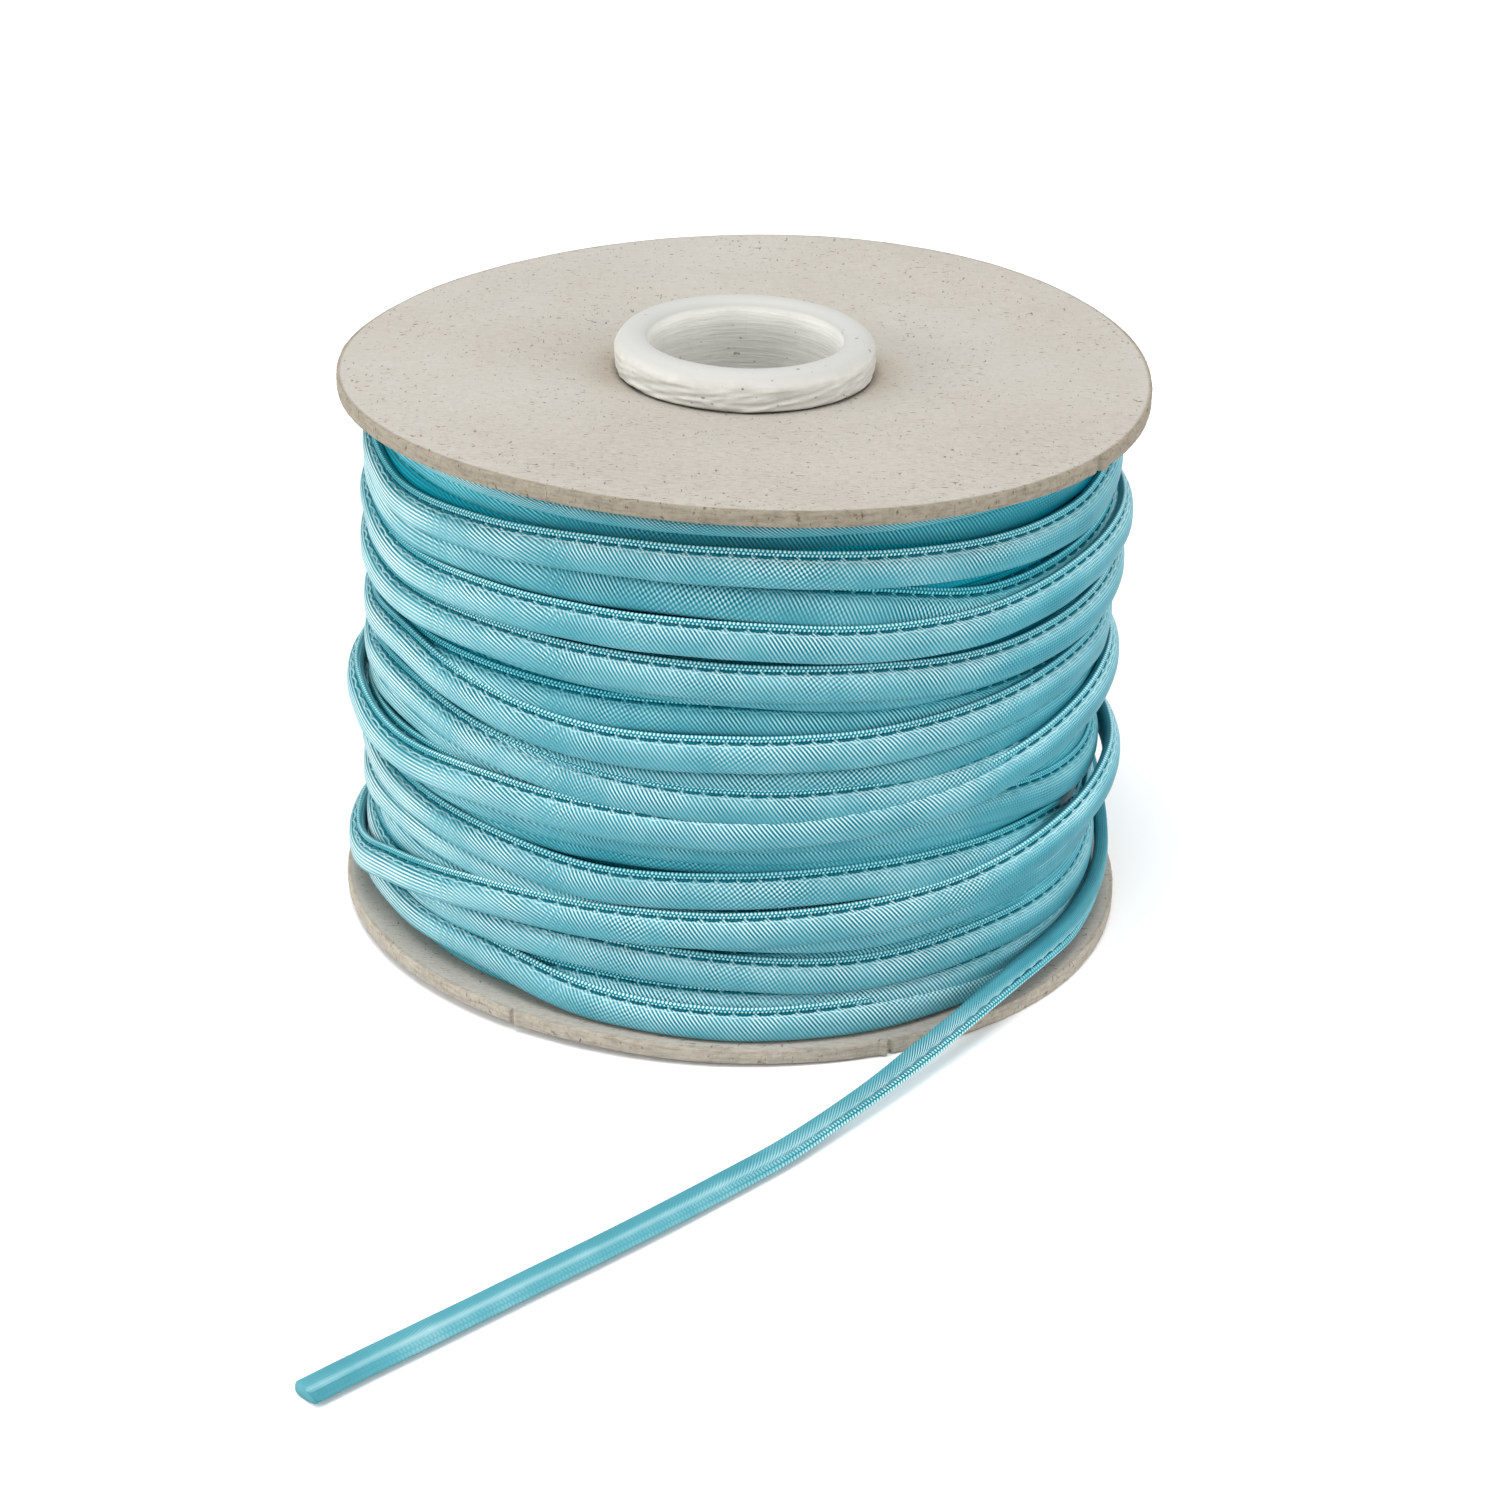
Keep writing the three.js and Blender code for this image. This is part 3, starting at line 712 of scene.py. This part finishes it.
def make_disc(name, bottom, warp, seed, slit=None, dished=0.0):
    """A disc of pressed board: flat faces, a fibrous cut edge with its nicks."""
    angle = np.arange(DISC_STEPS) * 360 / DISC_STEPS - 180
    arc = angle * math.pi / 180 * DISC_RADIUS
    profile = [(radius, 0.0) for radius in INNER_RADII]
    profile += [(DISC_RADIUS - EDGE_START, 0.0), (DISC_RADIUS - EDGE_CORNER, CORNER_LOW)]
    for i in range(EDGE_ROWS):
        up = (i + 0.5) / EDGE_ROWS
        round_off = EDGE_ROUND * (2 * abs(up - 0.5)) ** 4
        profile.append((DISC_RADIUS - round_off, up * BOARD))
    profile += [(DISC_RADIUS - EDGE_CORNER, BOARD - CORNER_HIGH), (DISC_RADIUS - EDGE_START, BOARD)]
    profile += [(radius, BOARD) for radius in reversed(INNER_RADII)]
    rings = []
    for row, (radius, height) in enumerate(profile):
        at_edge = max(0.0, 1 - (DISC_RADIUS - radius) / FRAY_REACH)
        fray = wobble("board_layers", arc, seed + row // 3) + wobble("board_fibres", arc, seed + 40 + row)
        grow = at_edge * (fray + wobble("board_outline", arc, seed + 90))
        for nick in NICKS[name]:
            size = nick.get("size", 1.0)
            from_nick = (angle - nick["angle"]) * math.pi / 180 * DISC_RADIUS * nick["side"] / size
            grow = grow + at_edge * size * sum(hump(from_nick, *shape) for shape in NICK_HUMPS)
        if slit and abs(height - slit["height"]) < slit["half"] and radius > DISC_RADIUS - slit["within"]:
            start, end = ((angle - slit["from"]) / slit["ease"], (slit["to"] - angle) / slit["ease"])
            grow = grow - slit["depth"] * (smooth(start) * smooth(end))
        z = bottom + height + warp_share(np.full(len(angle), radius)) * warp(angle) - dished * dish(radius)
        if 0 < height < BOARD:
            z = z + wobble("board_height", arc * radius / DISC_RADIUS, seed + 7)
        rings.append(around_axis(radius + grow, angle, z))
    return make_object(name, *round_solid(np.stack(rings, 1)), None, "board")


board_lower = make_disc("board_lower", 0.0, base_warp, 300)
board_upper = make_disc("board_upper", DISC_TOP_FACE - BOARD, top_warp, 500, slit=SLIT, dished=1.0)
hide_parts("disc_bottom")
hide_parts("disc_top")


def make_tube():
    """White paper tube: smooth bore, rim rolled outward, its outer wall crumpled."""
    foot = DISC_TOP_FACE - DISH_DEPTH + RIM_GAP
    crest = DISC_TOP_FACE - DISH_DEPTH + RIM_HEIGHT + RIM_GAP
    profile = [(TUBE_BORE, TUBE_FOOT, 0.0), (TUBE_OUTSIDE, TUBE_FOOT, 0.0), (TUBE_OUTSIDE, foot, 0.0)]
    profile += [(RIM_RADIUS - inward, foot + up, crumple) for inward, up, crumple in RIM_FOOT]
    for i in range(WALL_ROWS):
        up = i / (WALL_ROWS - 1)
        belly = RIM_RADIUS - WALL_BELLY * (1 - up) ** 2
        profile.append((belly, foot + WALL_FOOT + up * WALL_HEIGHT, 1.0 - WALL_CALMING * up**2))
    profile += [(RIM_RADIUS - inward, crest - down, crumple) for inward, down, crumple in RIM_ROLL]
    profile += [(TUBE_BORE, crest - down, crumple) for down, crumple in BORE_TOP]
    angle = np.arange(RIM_STEPS) * 360 / RIM_STEPS - 180
    arc = np.radians(angle) * RIM_RADIUS
    rings = []
    for row, (radius, z, crumple) in enumerate(profile):
        slow = wobble("rim_bulges", arc + BULGE_SLANT * row, 21)
        slow = slow + wobble("rim_folds", arc + FOLD_SLANT * row, 22)
        fine = wobble("rim_creases", arc + CREASE_SLANT * row, 30 + row // 2)
        fine = fine + wobble("rim_dents", arc, 130 + row // 2)
        lift = crumple * wobble("rim_lift", arc, 60 + row // 4)
        rings.append(around_axis(radius + crumple * (slow + fine), angle, z + lift))
    return make_object("core_paper", *round_solid(np.stack(rings, 1)), None, "paper")


core_paper = make_tube()
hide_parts("core_tube")


# Materials

# Weave: how much of each wave runs along the cord and round its section, and its pitch in millimetres
RIBS = (0.80, 0.60, 0.43)
CROSS_RIBS = (0.57, -0.82, 0.5)
# Ribs that turn along the cord on the left and side, as painted sheen lines
LEFT_SHEEN_RIBS = (0.42, 0.91, 0.46)
SIDE_SHEEN_RIBS = (0.04, 1.0, 0.48)
GRID_ALONG = (1.0, 0.1, 0.36)
GRID_ROUND = (0.0, 1.0, 0.36)
CROSS_SHARE = 0.6
GRID_SHARE = 0.3

# Ways round the section, in millimetres from the stitched edge's top
LIP_PITCH = 0.5
LIP_HIGHLIGHT_AROUND = 0.2
LIP_MIDDLE_AROUND = 0.52
LIP_END_AROUND = 0.95
CREASE_AROUND = 1.22
HEM_AROUND = 1.78
CALM_AROUND = (3.0, 4.6)
# Bands round the body where painted shade, painted sheen and painted light fall
UNDER_STITCH_SHADE_AROUND = (1.5, 2.9)
SHEEN_AROUND = (2.5, 3.5)
SHEEN_END_AROUND = (4.6, 5.2)
FRONT_LIGHT_AROUND = (1.6, 3.8)
RIGHT_LIGHT_AROUND = (1.7, 4.0)
UNDER_AROUND = (5.6, 6.4)
BACK_AROUND = (11.5, 11.9)

# Places where looks change, in metres: by the object's own x, y or z, and by the way from its axis
LEFT_X = (-0.025, -0.017)
SIDE_X = (-0.040, -0.031)
RIGHT_X = (0.024, 0.040)
LEFTWARD_X = (-0.047, -0.016)
BOARD_FRONT_Y = (-0.040, 0.005)
RUBBED_Y = (0.003, 0.012)
CREST_Z = (0.0730, 0.0745)
BORE_ACROSS = (0.0118, 0.0122)
RUBBED_ACROSS = (0.0163, 0.0215)
DEPTH_ACROSS = (0.0452, 0.0473)
INSIDE_ACROSS = (0.0462, 0.0474)
BOARD_EDGE_ACROSS = (0.0493, 0.0498)
LOOSE_ACROSS = (0.0498, 0.0515)

# Colours, and ramps of colour by tone
SATIN = (0.06, 0.3, 0.37)
CLOTH_RAMP = ((0.02, (0.0, 0.10, 0.135)), (0.5, (0.08, 0.275, 0.325)), (0.98, (0.50, 0.66, 0.69)))
LIP_RAMP = ((0.02, (0.0, 0.13, 0.17)), (0.5, (0.065, 0.30, 0.35)), (0.98, (0.55, 0.77, 0.80)))
# Painted shade and light on the satin: the deep turns' darker ramp, a painted highlight on the hem, painted
# shade in the crease, in deeper cloth and in the gaps, and painted light tints for the right and left sides
DEEP_SHADE_RAMP = ((0.2, (0.0, 0.16, 0.205)), (0.8, (0.0, 0.34, 0.415)))
HEM_HIGHLIGHT_COLOUR = (0.45, 0.68, 0.72)
CREASE_SHADE_COLOUR = (0.0, 0.10, 0.135)
DEPTH_SHADE_TINT = (0.2, 0.74, 0.8)
GAP_SHADE_COLOUR = (0.0, 0.42, 0.52)
RIGHT_LIGHT_TINT = (0.98, 1.08, 1.10)
LEFT_SHEEN_TINT = (1.12, 1.02, 0.98)
# Thread colours, painted dark with the shade of the crease the stitches lie in
THREAD = (0.0, 0.14, 0.19)
THREAD_SHADE_RAMP = ((0.3, (0.0, 0.07, 0.10)), (0.7, (0.0, 0.13, 0.17)))
PALE_THREAD = (0.15, 0.43, 0.49)
GREY_BOARD = (0.4, 0.37, 0.33)
BOARD_RAMP = ((0.32, (0.316, 0.293, 0.257)), (0.5, (0.362, 0.340, 0.303)), (0.68, (0.393, 0.374, 0.339)))
FLECK_RAMP = ((0.27, (0.46, 0.43, 0.38)), (0.34, (1.0, 1.0, 1.0)))
GRAIN_RAMP = ((0.36, (0.84, 0.82, 0.79)), (0.52, (1.0, 1.0, 1.0)))
RUBBED_TINT = (0.74, 0.66, 0.55)
LOWER_EDGE_TINT = (0.87, 0.835, 0.77)
UPPER_EDGE_TINT = (0.615, 0.57, 0.49)
PAPER = (0.82, 0.82, 0.79)
WALL_RAMP = ((0.3, (0.41, 0.40, 0.365)), (0.6, (0.50, 0.49, 0.45)))
# Painted shade on the rolled crest and painted light in the bore
CREST_SHADE_COLOUR = (0.392, 0.392, 0.374)
BORE_LIGHT_COLOUR = (0.70, 0.70, 0.66)
SPECK_RAMP = ((0.22, (0.45, 0.42, 0.38)), (0.27, (1.0, 1.0, 1.0)))
FLOOR = (0.92, 0.92, 0.92)
FLOOR_RAMP = ((0.3, (0.91, 0.915, 0.92)), (0.7, (0.93, 0.93, 0.93)))

# Gloss of the satin
SATIN_GLOSS = {
    "Sheen Weight": 0.02, "Sheen Roughness": 0.35, "Sheen Tint": (0.3, 0.95, 1.0, 1),
    "Specular IOR Level": 0.1, "Specular Tint": (0.3, 0.95, 1.0, 1), "Anisotropic": 0.5,
    "Anisotropic Rotation": 0.17,
}
THREAD_GLOSS = 0.1

# Scales of the fibres, flecks, grain and layers in the board and the paper, along x, y and z
FIBRES_ALONG = (500, 2600, 500)
FIBRES_ACROSS = (2400, 600, 500)
FLECKS = ((850, 2300, 1000), (2200, 900, 1000))
BOARD_GRAIN = (900, 3200, 1000)
BOARD_LAYERS = (350, 350, 2600)
PAPER_SPECKS = (900, 1200, 1100)
PAPER_CREASES = (130, 130, 1500)

# Bumps: strength, and height in metres
SATIN_BUMP = (0.6, 0.00006)
BOARD_BUMP = (0.6, 0.00008)
PAPER_BUMP = (0.35, 0.0001)


class Net:
    """A material, with short calls for the nodes that its looks are made of."""

    def __init__(self, name, colour, roughness):
        self.material = bpy.data.materials.new(name)
        self.material.use_nodes = True
        self.nodes = self.material.node_tree.nodes
        self.links = self.material.node_tree.links
        self.shader = self.nodes["Principled BSDF"]
        self.feed(self.shader.inputs["Base Color"], colour)
        self.feed(self.shader.inputs["Roughness"], roughness)

    def feed(self, socket, value):
        """Links a socket, or gives it a colour of three figures or a number."""
        if isinstance(value, bpy.types.NodeSocket):
            self.links.new(value, socket)
        elif isinstance(value, tuple):
            socket.default_value = (*value, 1)
        else:
            socket.default_value = value

    def node(self, kind):
        return self.nodes.new("ShaderNode" + kind)

    def place(self):
        return self.node("TexCoord").outputs["Object"]

    def split(self, vector):
        node = self.node("SeparateXYZ")
        self.feed(node.inputs[0], vector)
        return node.outputs

    def scaled(self, vector, scale):
        node = self.node("VectorMath")
        node.operation = "MULTIPLY"
        self.feed(node.inputs[0], vector)
        node.inputs[1].default_value = scale
        return node.outputs[0]

    def do(self, operation, *values):
        node = self.node("Math")
        node.operation = operation
        for socket, value in zip(node.inputs, values):
            self.feed(socket, value)
        return node.outputs[0]

    def plus(self, first, second):
        return self.do("ADD", first, second)

    def times(self, first, second):
        return self.do("MULTIPLY", first, second)

    def across(self, x, y):
        """Way from the object's axis."""
        return self.do("SQRT", self.plus(self.do("POWER", x, 2.0), self.do("POWER", y, 2.0)))

    def noise(self, vector, scale, detail=3.0, roughness=0.5):
        node = self.node("TexNoise")
        names = ("Scale", "Detail", "Roughness", "Vector")
        for socket, value in zip(names, (scale, detail, roughness, vector)):
            self.feed(node.inputs[socket], value)
        return node.outputs["Fac"]

    def ranged(self, value, span, first, last):
        """A smooth step from first to last over a span of value."""
        node = self.node("MapRange")
        node.interpolation_type = "SMOOTHSTEP"
        for socket, each in zip(node.inputs[:5], (value, *span, first, last)):
            self.feed(socket, each)
        return node.outputs[0]

    def near(self, value, middle, inside, outside):
        """1 where value is inside a way of the middle, and 0 where it is outside one."""
        away = self.do("ABSOLUTE", self.do("SUBTRACT", value, middle))
        return self.ranged(away, (inside, outside), 1.0, 0.0)

    def ramp(self, factor, stops):
        node = self.node("ValToRGB")
        while len(node.color_ramp.elements) < len(stops):
            node.color_ramp.elements.new(0.5)
        for element, (place, colour) in zip(node.color_ramp.elements, stops):
            element.position = place
            element.color = (*colour, 1)
        self.feed(node.inputs[0], factor)
        return node.outputs[0]

    def mix_node(self, kind, blend, values, sockets, output):
        node = self.node("Mix")
        node.data_type = kind
        node.blend_type = blend
        for socket, value in zip(sockets, values):
            self.feed(node.inputs[socket], value)
        return node.outputs[output]

    def mixed(self, factor, first, second, blend="MIX"):
        return self.mix_node("RGBA", blend, (factor, first, second), (0, 6, 7), 2)

    def tinted(self, colour, tint, share=1.0):
        return self.mixed(share, colour, tint, "MULTIPLY")

    def mixed_number(self, factor, first, second):
        return self.mix_node("FLOAT", "MIX", (factor, first, second), (0, 2, 3), 0)

    def colour(self, colour):
        self.feed(self.shader.inputs["Base Color"], colour)

    def bump(self, height, strength, distance):
        node = self.node("Bump")
        self.feed(node.inputs["Strength"], strength)
        self.feed(node.inputs["Distance"], distance)
        self.feed(node.inputs["Height"], height)
        self.feed(self.shader.inputs["Normal"], node.outputs[0])


def satin_material(name, deep=False):
    """Satin with a stitched edge. u runs along the cord and v round its section, in millimetres. With deep it
    is a darker copy for the deep turns, whose colours are painted shade.
    """
    net = Net(name, SATIN, 0.45)
    do, plus, times, ranged, near = net.do, net.plus, net.times, net.ranged, net.near
    cloth_map = net.node("UVMap")
    cloth_map.uv_map = "cloth"
    uv = cloth_map.outputs[0]
    u, v, _ = net.split(uv)
    x, y, _ = net.split(net.place())

    def wave(along, around, pitch):
        turn = 2 * math.pi / pitch
        return do("SINE", plus(times(u, along * turn), times(v, around * turn)))

    # Weave of the body: slanting ribs, crossed in patches, that turn along the cord towards the left side of
    # the roll, as painted sheen lines of the satin there, and fade to a fine grid on the right side
    patches = ranged(net.noise(uv, 0.045, 2.0), (0.5, 0.68), 0.0, 1.0)
    cross = times(wave(*CROSS_RIBS), times(patches, CROSS_SHARE))
    ribs = plus(wave(*RIBS), cross)
    at_left = ranged(x, LEFT_X, 1.0, 0.0)
    at_side = ranged(x, SIDE_X, 1.0, 0.0)
    at_right = ranged(x, RIGHT_X, 0.0, 1.0)
    grid = plus(times(wave(*GRID_ALONG), GRID_SHARE), times(wave(*GRID_ROUND), GRID_SHARE))
    weave = net.mixed_number(at_left, ribs, wave(*LEFT_SHEEN_RIBS))
    weave = net.mixed_number(at_side, weave, wave(*SIDE_SHEEN_RIBS))
    weave = net.mixed_number(at_right, weave, grid)
    calm = ranged(v, CALM_AROUND, 1.0, 0.45)
    uneven = ranged(net.noise(uv, 0.16, 2.0), (0.35, 0.65), 0.6, 1.1)
    # How much of the relief is kept where the loose end is worn
    kept = ranged(y, WORN_Y, 0.06, 1.0)
    weave = times(weave, times(kept, times(calm, uneven)))

    # Two staggered rows of beads on the stitched edge, the groove between them a dip that is also painted
    # darker as painted shade, and a painted highlight along the edge's top
    lower_row = do("GREATER_THAN", v, LIP_MIDDLE_AROUND)
    drift = times(net.noise(uv, 0.9, 1.0), 3.0)
    turned = do("MULTIPLY_ADD", u, 2 * math.pi / LIP_PITCH, drift)
    beads = do("SINE", plus(turned, times(lower_row, math.pi)))
    groove = times(near(v, LIP_MIDDLE_AROUND, 0.03, 0.12), 0.9)
    clear = times(do("MULTIPLY_ADD", do("MAXIMUM", at_right, at_side), -0.6, 1.0), kept)
    beads = times(do("SUBTRACT", times(beads, 0.9), groove), clear)
    beads = plus(beads, times(near(v, LIP_HIGHLIGHT_AROUND, 0.05, 0.22), times(kept, 0.45)))
    beads = do("SUBTRACT", beads, times(at_side, 0.3))
    on_lip = do("LESS_THAN", v, LIP_END_AROUND)
    height = net.mixed_number(on_lip, weave, beads)
    net.bump(height, *SATIN_BUMP)

    # Painted light and shade on the body: on the left side, painted shade under the stitch line and a painted
    # sheen lower down; everywhere, and more on the right side, painted light under the stitch line and
    # painted shade lower down
    cloud = net.noise(uv, 0.12, 3.0)
    leftward = ranged(x, LEFTWARD_X, 1.0, 0.0)
    under_stitch_shade = ranged(v, UNDER_STITCH_SHADE_AROUND, 0.5, 0.0)
    painted_sheen = times(ranged(v, SHEEN_AROUND, 0.0, 0.21), ranged(v, SHEEN_END_AROUND, 1.0, 0.0))
    side_light = times(times(leftward, kept), do("SUBTRACT", painted_sheen, under_stitch_shade))
    front_light = ranged(v, FRONT_LIGHT_AROUND, 0.07, -0.08)
    right_light = times(times(at_right, kept), ranged(v, RIGHT_LIGHT_AROUND, 0.11, -0.17))
    body_light = plus(plus(side_light, front_light), right_light)
    body_light = times(body_light, do("SUBTRACT", 1.0, on_lip))
    strength = do("MULTIPLY_ADD", on_lip, 0.12, 0.46)
    tone = plus(plus(times(height, strength), 0.5), body_light)
    tone = plus(tone, do("MULTIPLY_ADD", cloud, 0.3, -0.137))
    # Painted light: a paler band along the upper body of the worn loose end, and a slight overall lift there
    paler = do("MULTIPLY_ADD", near(v, 2.0, 0.2, 1.0), 0.07, 0.01)
    tone = plus(tone, times(paler, do("SUBTRACT", 1.0, kept)))
    cloth = net.ramp(tone, CLOTH_RAMP)
    lip = net.ramp(tone, LIP_RAMP)
    cloth = net.mixed(times(on_lip, kept), cloth, lip)
    # The deep turns' copy takes a darker ramp: painted shade
    if deep:
        cloth = net.ramp(tone, DEEP_SHADE_RAMP)

    # Stitch line: dark dashes in the crease, painted shade, and a light scalloped hem under them, a painted
    # highlight
    step = do("FRACT", do("DIVIDE", u, STITCH_PITCH))
    from_middle = do("ABSOLUTE", do("SUBTRACT", step, 0.5))
    crease_shade = times(ranged(from_middle, (0.38, 0.44), 1.0, 0.0), near(v, CREASE_AROUND, 0.24, 0.36))
    across = net.across(x, y)
    loose = ranged(across, LOOSE_ACROSS, 0.0, 1.0)
    crease_shade = times(crease_shade, times(kept, do("MULTIPLY_ADD", loose, -0.45, 1.0)))
    scalloped = do("SUBTRACT", v, times(do("POWER", from_middle, 2.0), 1.1))
    hem_highlight = times(near(scalloped, HEM_AROUND, 0.04, 0.16), times(kept, 0.45))
    with_hem_highlight = net.mixed(hem_highlight, cloth, HEM_HIGHLIGHT_COLOUR)
    with_crease_shade = net.mixed(times(crease_shade, 0.95), with_hem_highlight, CREASE_SHADE_COLOUR)

    # Painted shade: deeper cloth is tinted darker and more saturated, and the underside and the back, which
    # only show in the gaps, take a saturated shade colour
    inside = ranged(across, INSIDE_ACROSS, 0.97, 0.0)
    under = times(ranged(v, UNDER_AROUND, 0.0, 1.0), ranged(v, BACK_AROUND, 1.0, 0.0))
    depth = ranged(across, DEPTH_ACROSS, 0.85, 0.0)
    deeper = net.tinted(with_crease_shade, DEPTH_SHADE_TINT, depth)
    colour = net.mixed(times(under, inside), deeper, GAP_SHADE_COLOUR)
    # Painted light: brighter cyan on the right side, and whiter on the left side as a painted sheen
    colour = net.tinted(colour, RIGHT_LIGHT_TINT, times(at_right, kept))
    colour = net.tinted(colour, LEFT_SHEEN_TINT, times(leftward, kept))
    net.colour(colour)
    for socket, value in SATIN_GLOSS.items():
        net.shader.inputs[socket].default_value = value
    tangent = net.node("Tangent")
    tangent.direction_type = "UV_MAP"
    tangent.uv_map = "cloth"
    net.feed(net.shader.inputs["Tangent"], tangent.outputs[0])
    return net.material


def thread_material():
    """Thread painted dark with the shade of the crease it lies in, paler on the loose end and most where that
    is worn.
    """
    net = Net("thread", THREAD, 0.7)
    place = net.place()
    dark = net.ramp(net.noise(place, 2500), THREAD_SHADE_RAMP)
    _, y, _ = net.split(place)
    away = net.node("VectorMath")
    away.operation = "LENGTH"
    net.feed(away.inputs[0], net.scaled(place, (1, 1, 0)))
    loose = net.ranged(away.outputs["Value"], LOOSE_ACROSS, 0.0, 0.4)
    pale = net.do("MAXIMUM", loose, net.ranged(y, WORN_Y, 0.9, 0.0))
    net.colour(net.mixed(pale, dark, PALE_THREAD))
    net.feed(net.shader.inputs["Specular IOR Level"], THREAD_GLOSS)
    return net.material


def board_material(name, edge_tint):
    """Grey pressed board with fine fibres, grain and flecks, rubbed beside the rim. Its cut edge is
    browner and layered."""
    net = Net(name, GREY_BOARD, 0.9)
    plus, times, ranged = net.plus, net.times, net.ranged
    place = net.place()
    broad = net.noise(place, 40, 4.0)
    fine = net.noise(place, 900, 3.0, 0.7)
    fibre = net.noise(net.scaled(place, FIBRES_ALONG), 1.0, 2.0)
    fibre_across = net.noise(net.scaled(place, FIBRES_ACROSS), 1.0, 2.0)
    fibres = plus(times(fibre, 0.22), times(fibre_across, 0.18))
    tone = plus(times(broad, 0.4), plus(times(fine, 0.2), fibres))
    colour = net.ramp(tone, BOARD_RAMP)
    for stretch in FLECKS:
        flecks = net.noise(net.scaled(place, stretch), 1.0, 2.0)
        colour = net.tinted(colour, net.ramp(flecks, FLECK_RAMP))
    x, y, _ = net.split(place)
    across = net.across(x, y)
    in_front = ranged(y, BOARD_FRONT_Y, 1.0, 0.25)
    grain = net.noise(net.scaled(place, BOARD_GRAIN), 1.0, 4.0, 0.65)
    colour = net.tinted(colour, net.ramp(grain, GRAIN_RAMP), in_front)
    at_side = ranged(net.do("ABSOLUTE", y), RUBBED_Y, 1.0, 0.0)
    rubbed = times(ranged(across, RUBBED_ACROSS, 0.6, 0.0), at_side)
    colour = net.tinted(colour, RUBBED_TINT, rubbed)
    on_edge = ranged(across, BOARD_EDGE_ACROSS, 0.0, 1.0)
    layers = net.noise(net.scaled(place, BOARD_LAYERS), 1.0, 3.0, 0.7)
    shades = ((0.35, 0.78), (0.5, 1.0), (0.7, 1.12))
    edge_ramp = net.ramp(layers, [(at, tuple(shade * c for c in edge_tint)) for at, shade in shades])
    net.colour(net.mixed(on_edge, colour, net.tinted(colour, edge_ramp)))
    net.bump(plus(fine, plus(fibre, times(layers, on_edge))), *BOARD_BUMP)
    return net.material


def paper_material():
    """White paper with dark specks: smooth in the bore, which is painted brighter as painted light, and
    painted darker where the rim is rolled, as painted shade.
    """
    net = Net("paper", PAPER, 0.65)
    place = net.place()
    x, y, z = net.split(place)
    in_bore = net.ranged(net.across(x, y), BORE_ACROSS, 1.0, 0.0)
    on_crest = net.ranged(z, CREST_Z, 0.0, 1.0)
    tone = net.noise(place, 300, 4.0, 0.6)
    colour = net.mixed(on_crest, net.ramp(tone, WALL_RAMP), CREST_SHADE_COLOUR)
    colour = net.mixed(in_bore, colour, BORE_LIGHT_COLOUR)
    specks = net.noise(net.scaled(place, PAPER_SPECKS), 1.0, 1.0)
    net.colour(net.tinted(colour, net.ramp(specks, SPECK_RAMP)))
    creases = net.noise(net.scaled(place, PAPER_CREASES), 1.0, 3.0, 0.6)
    wrinkled = net.times(net.times(creases, net.do("SUBTRACT", 1.0, on_crest)), 3.0)
    net.bump(net.plus(tone, wrinkled), *PAPER_BUMP)
    return net.material


def floor_material():
    net = Net("floor", FLOOR, 0.5)
    net.colour(net.ramp(net.noise(net.place(), 3, 2.0), FLOOR_RAMP))
    return net.material


satin = satin_material("satin")
shaded_deep_satin = satin_material("satin_deep_shaded", deep=True)
thread = thread_material()
for piece in [*wound, loose_cord]:
    piece.data.materials.append(shaded_deep_satin if piece.name == "cord_deep" else satin)
for piece in sewn:
    piece.data.materials.append(thread)
board_lower.data.materials.append(board_material("board_lower", LOWER_EDGE_TINT))
board_upper.data.materials.append(board_material("board_upper", UPPER_EDGE_TINT))
core_paper.data.materials.append(paper_material())


# Floor and light

FLOOR_HALF = 3000.0
LIGHT_AIM = (0.0, 0.0, 0.035)
# Place and size in metres, and power in watts
LIGHTS = {
    "key": {"place": (-0.75, -0.22, 0.25), "size": 0.5, "power": 4.4},
    "fill": {"place": (0.8, -0.4, 0.35), "size": 0.5, "power": 3.7},
    "top": {"place": (-0.1, -0.3, 1.05), "size": 0.6, "power": 7.8},
}
SKY_STRENGTH = 0.85


def make_floor():
    half = FLOOR_HALF
    corners = [(-half, -half, 0), (half, -half, 0), (half, half, 0), (-half, half, 0)]
    floor = make_object("floor", corners, [(0, 1, 2, 3)])
    floor.data.materials.append(floor_material())


def area_light(name, place, size, power):
    data = bpy.data.lights.new(name, "AREA")
    data.shape = "SQUARE"
    data.size = size
    data.energy = power
    light = bpy.data.objects.new(name, data)
    light.location = place
    direction = np.array(LIGHT_AIM) - np.array(place)
    light.rotation_euler = Vector(direction.tolist()).to_track_quat("-Z", "Y").to_euler()
    bpy.context.scene.collection.objects.link(light)


make_floor()
for name, sizes in LIGHTS.items():
    area_light(name, **sizes)

world = bpy.data.worlds.new("world")
bpy.context.scene.world = world
world.use_nodes = True
sky = world.node_tree.nodes["Background"]
sky.inputs["Color"].default_value = (1, 1, 1, 1)
sky.inputs["Strength"].default_value = SKY_STRENGTH
bpy.context.scene.view_settings.view_transform = "Standard"
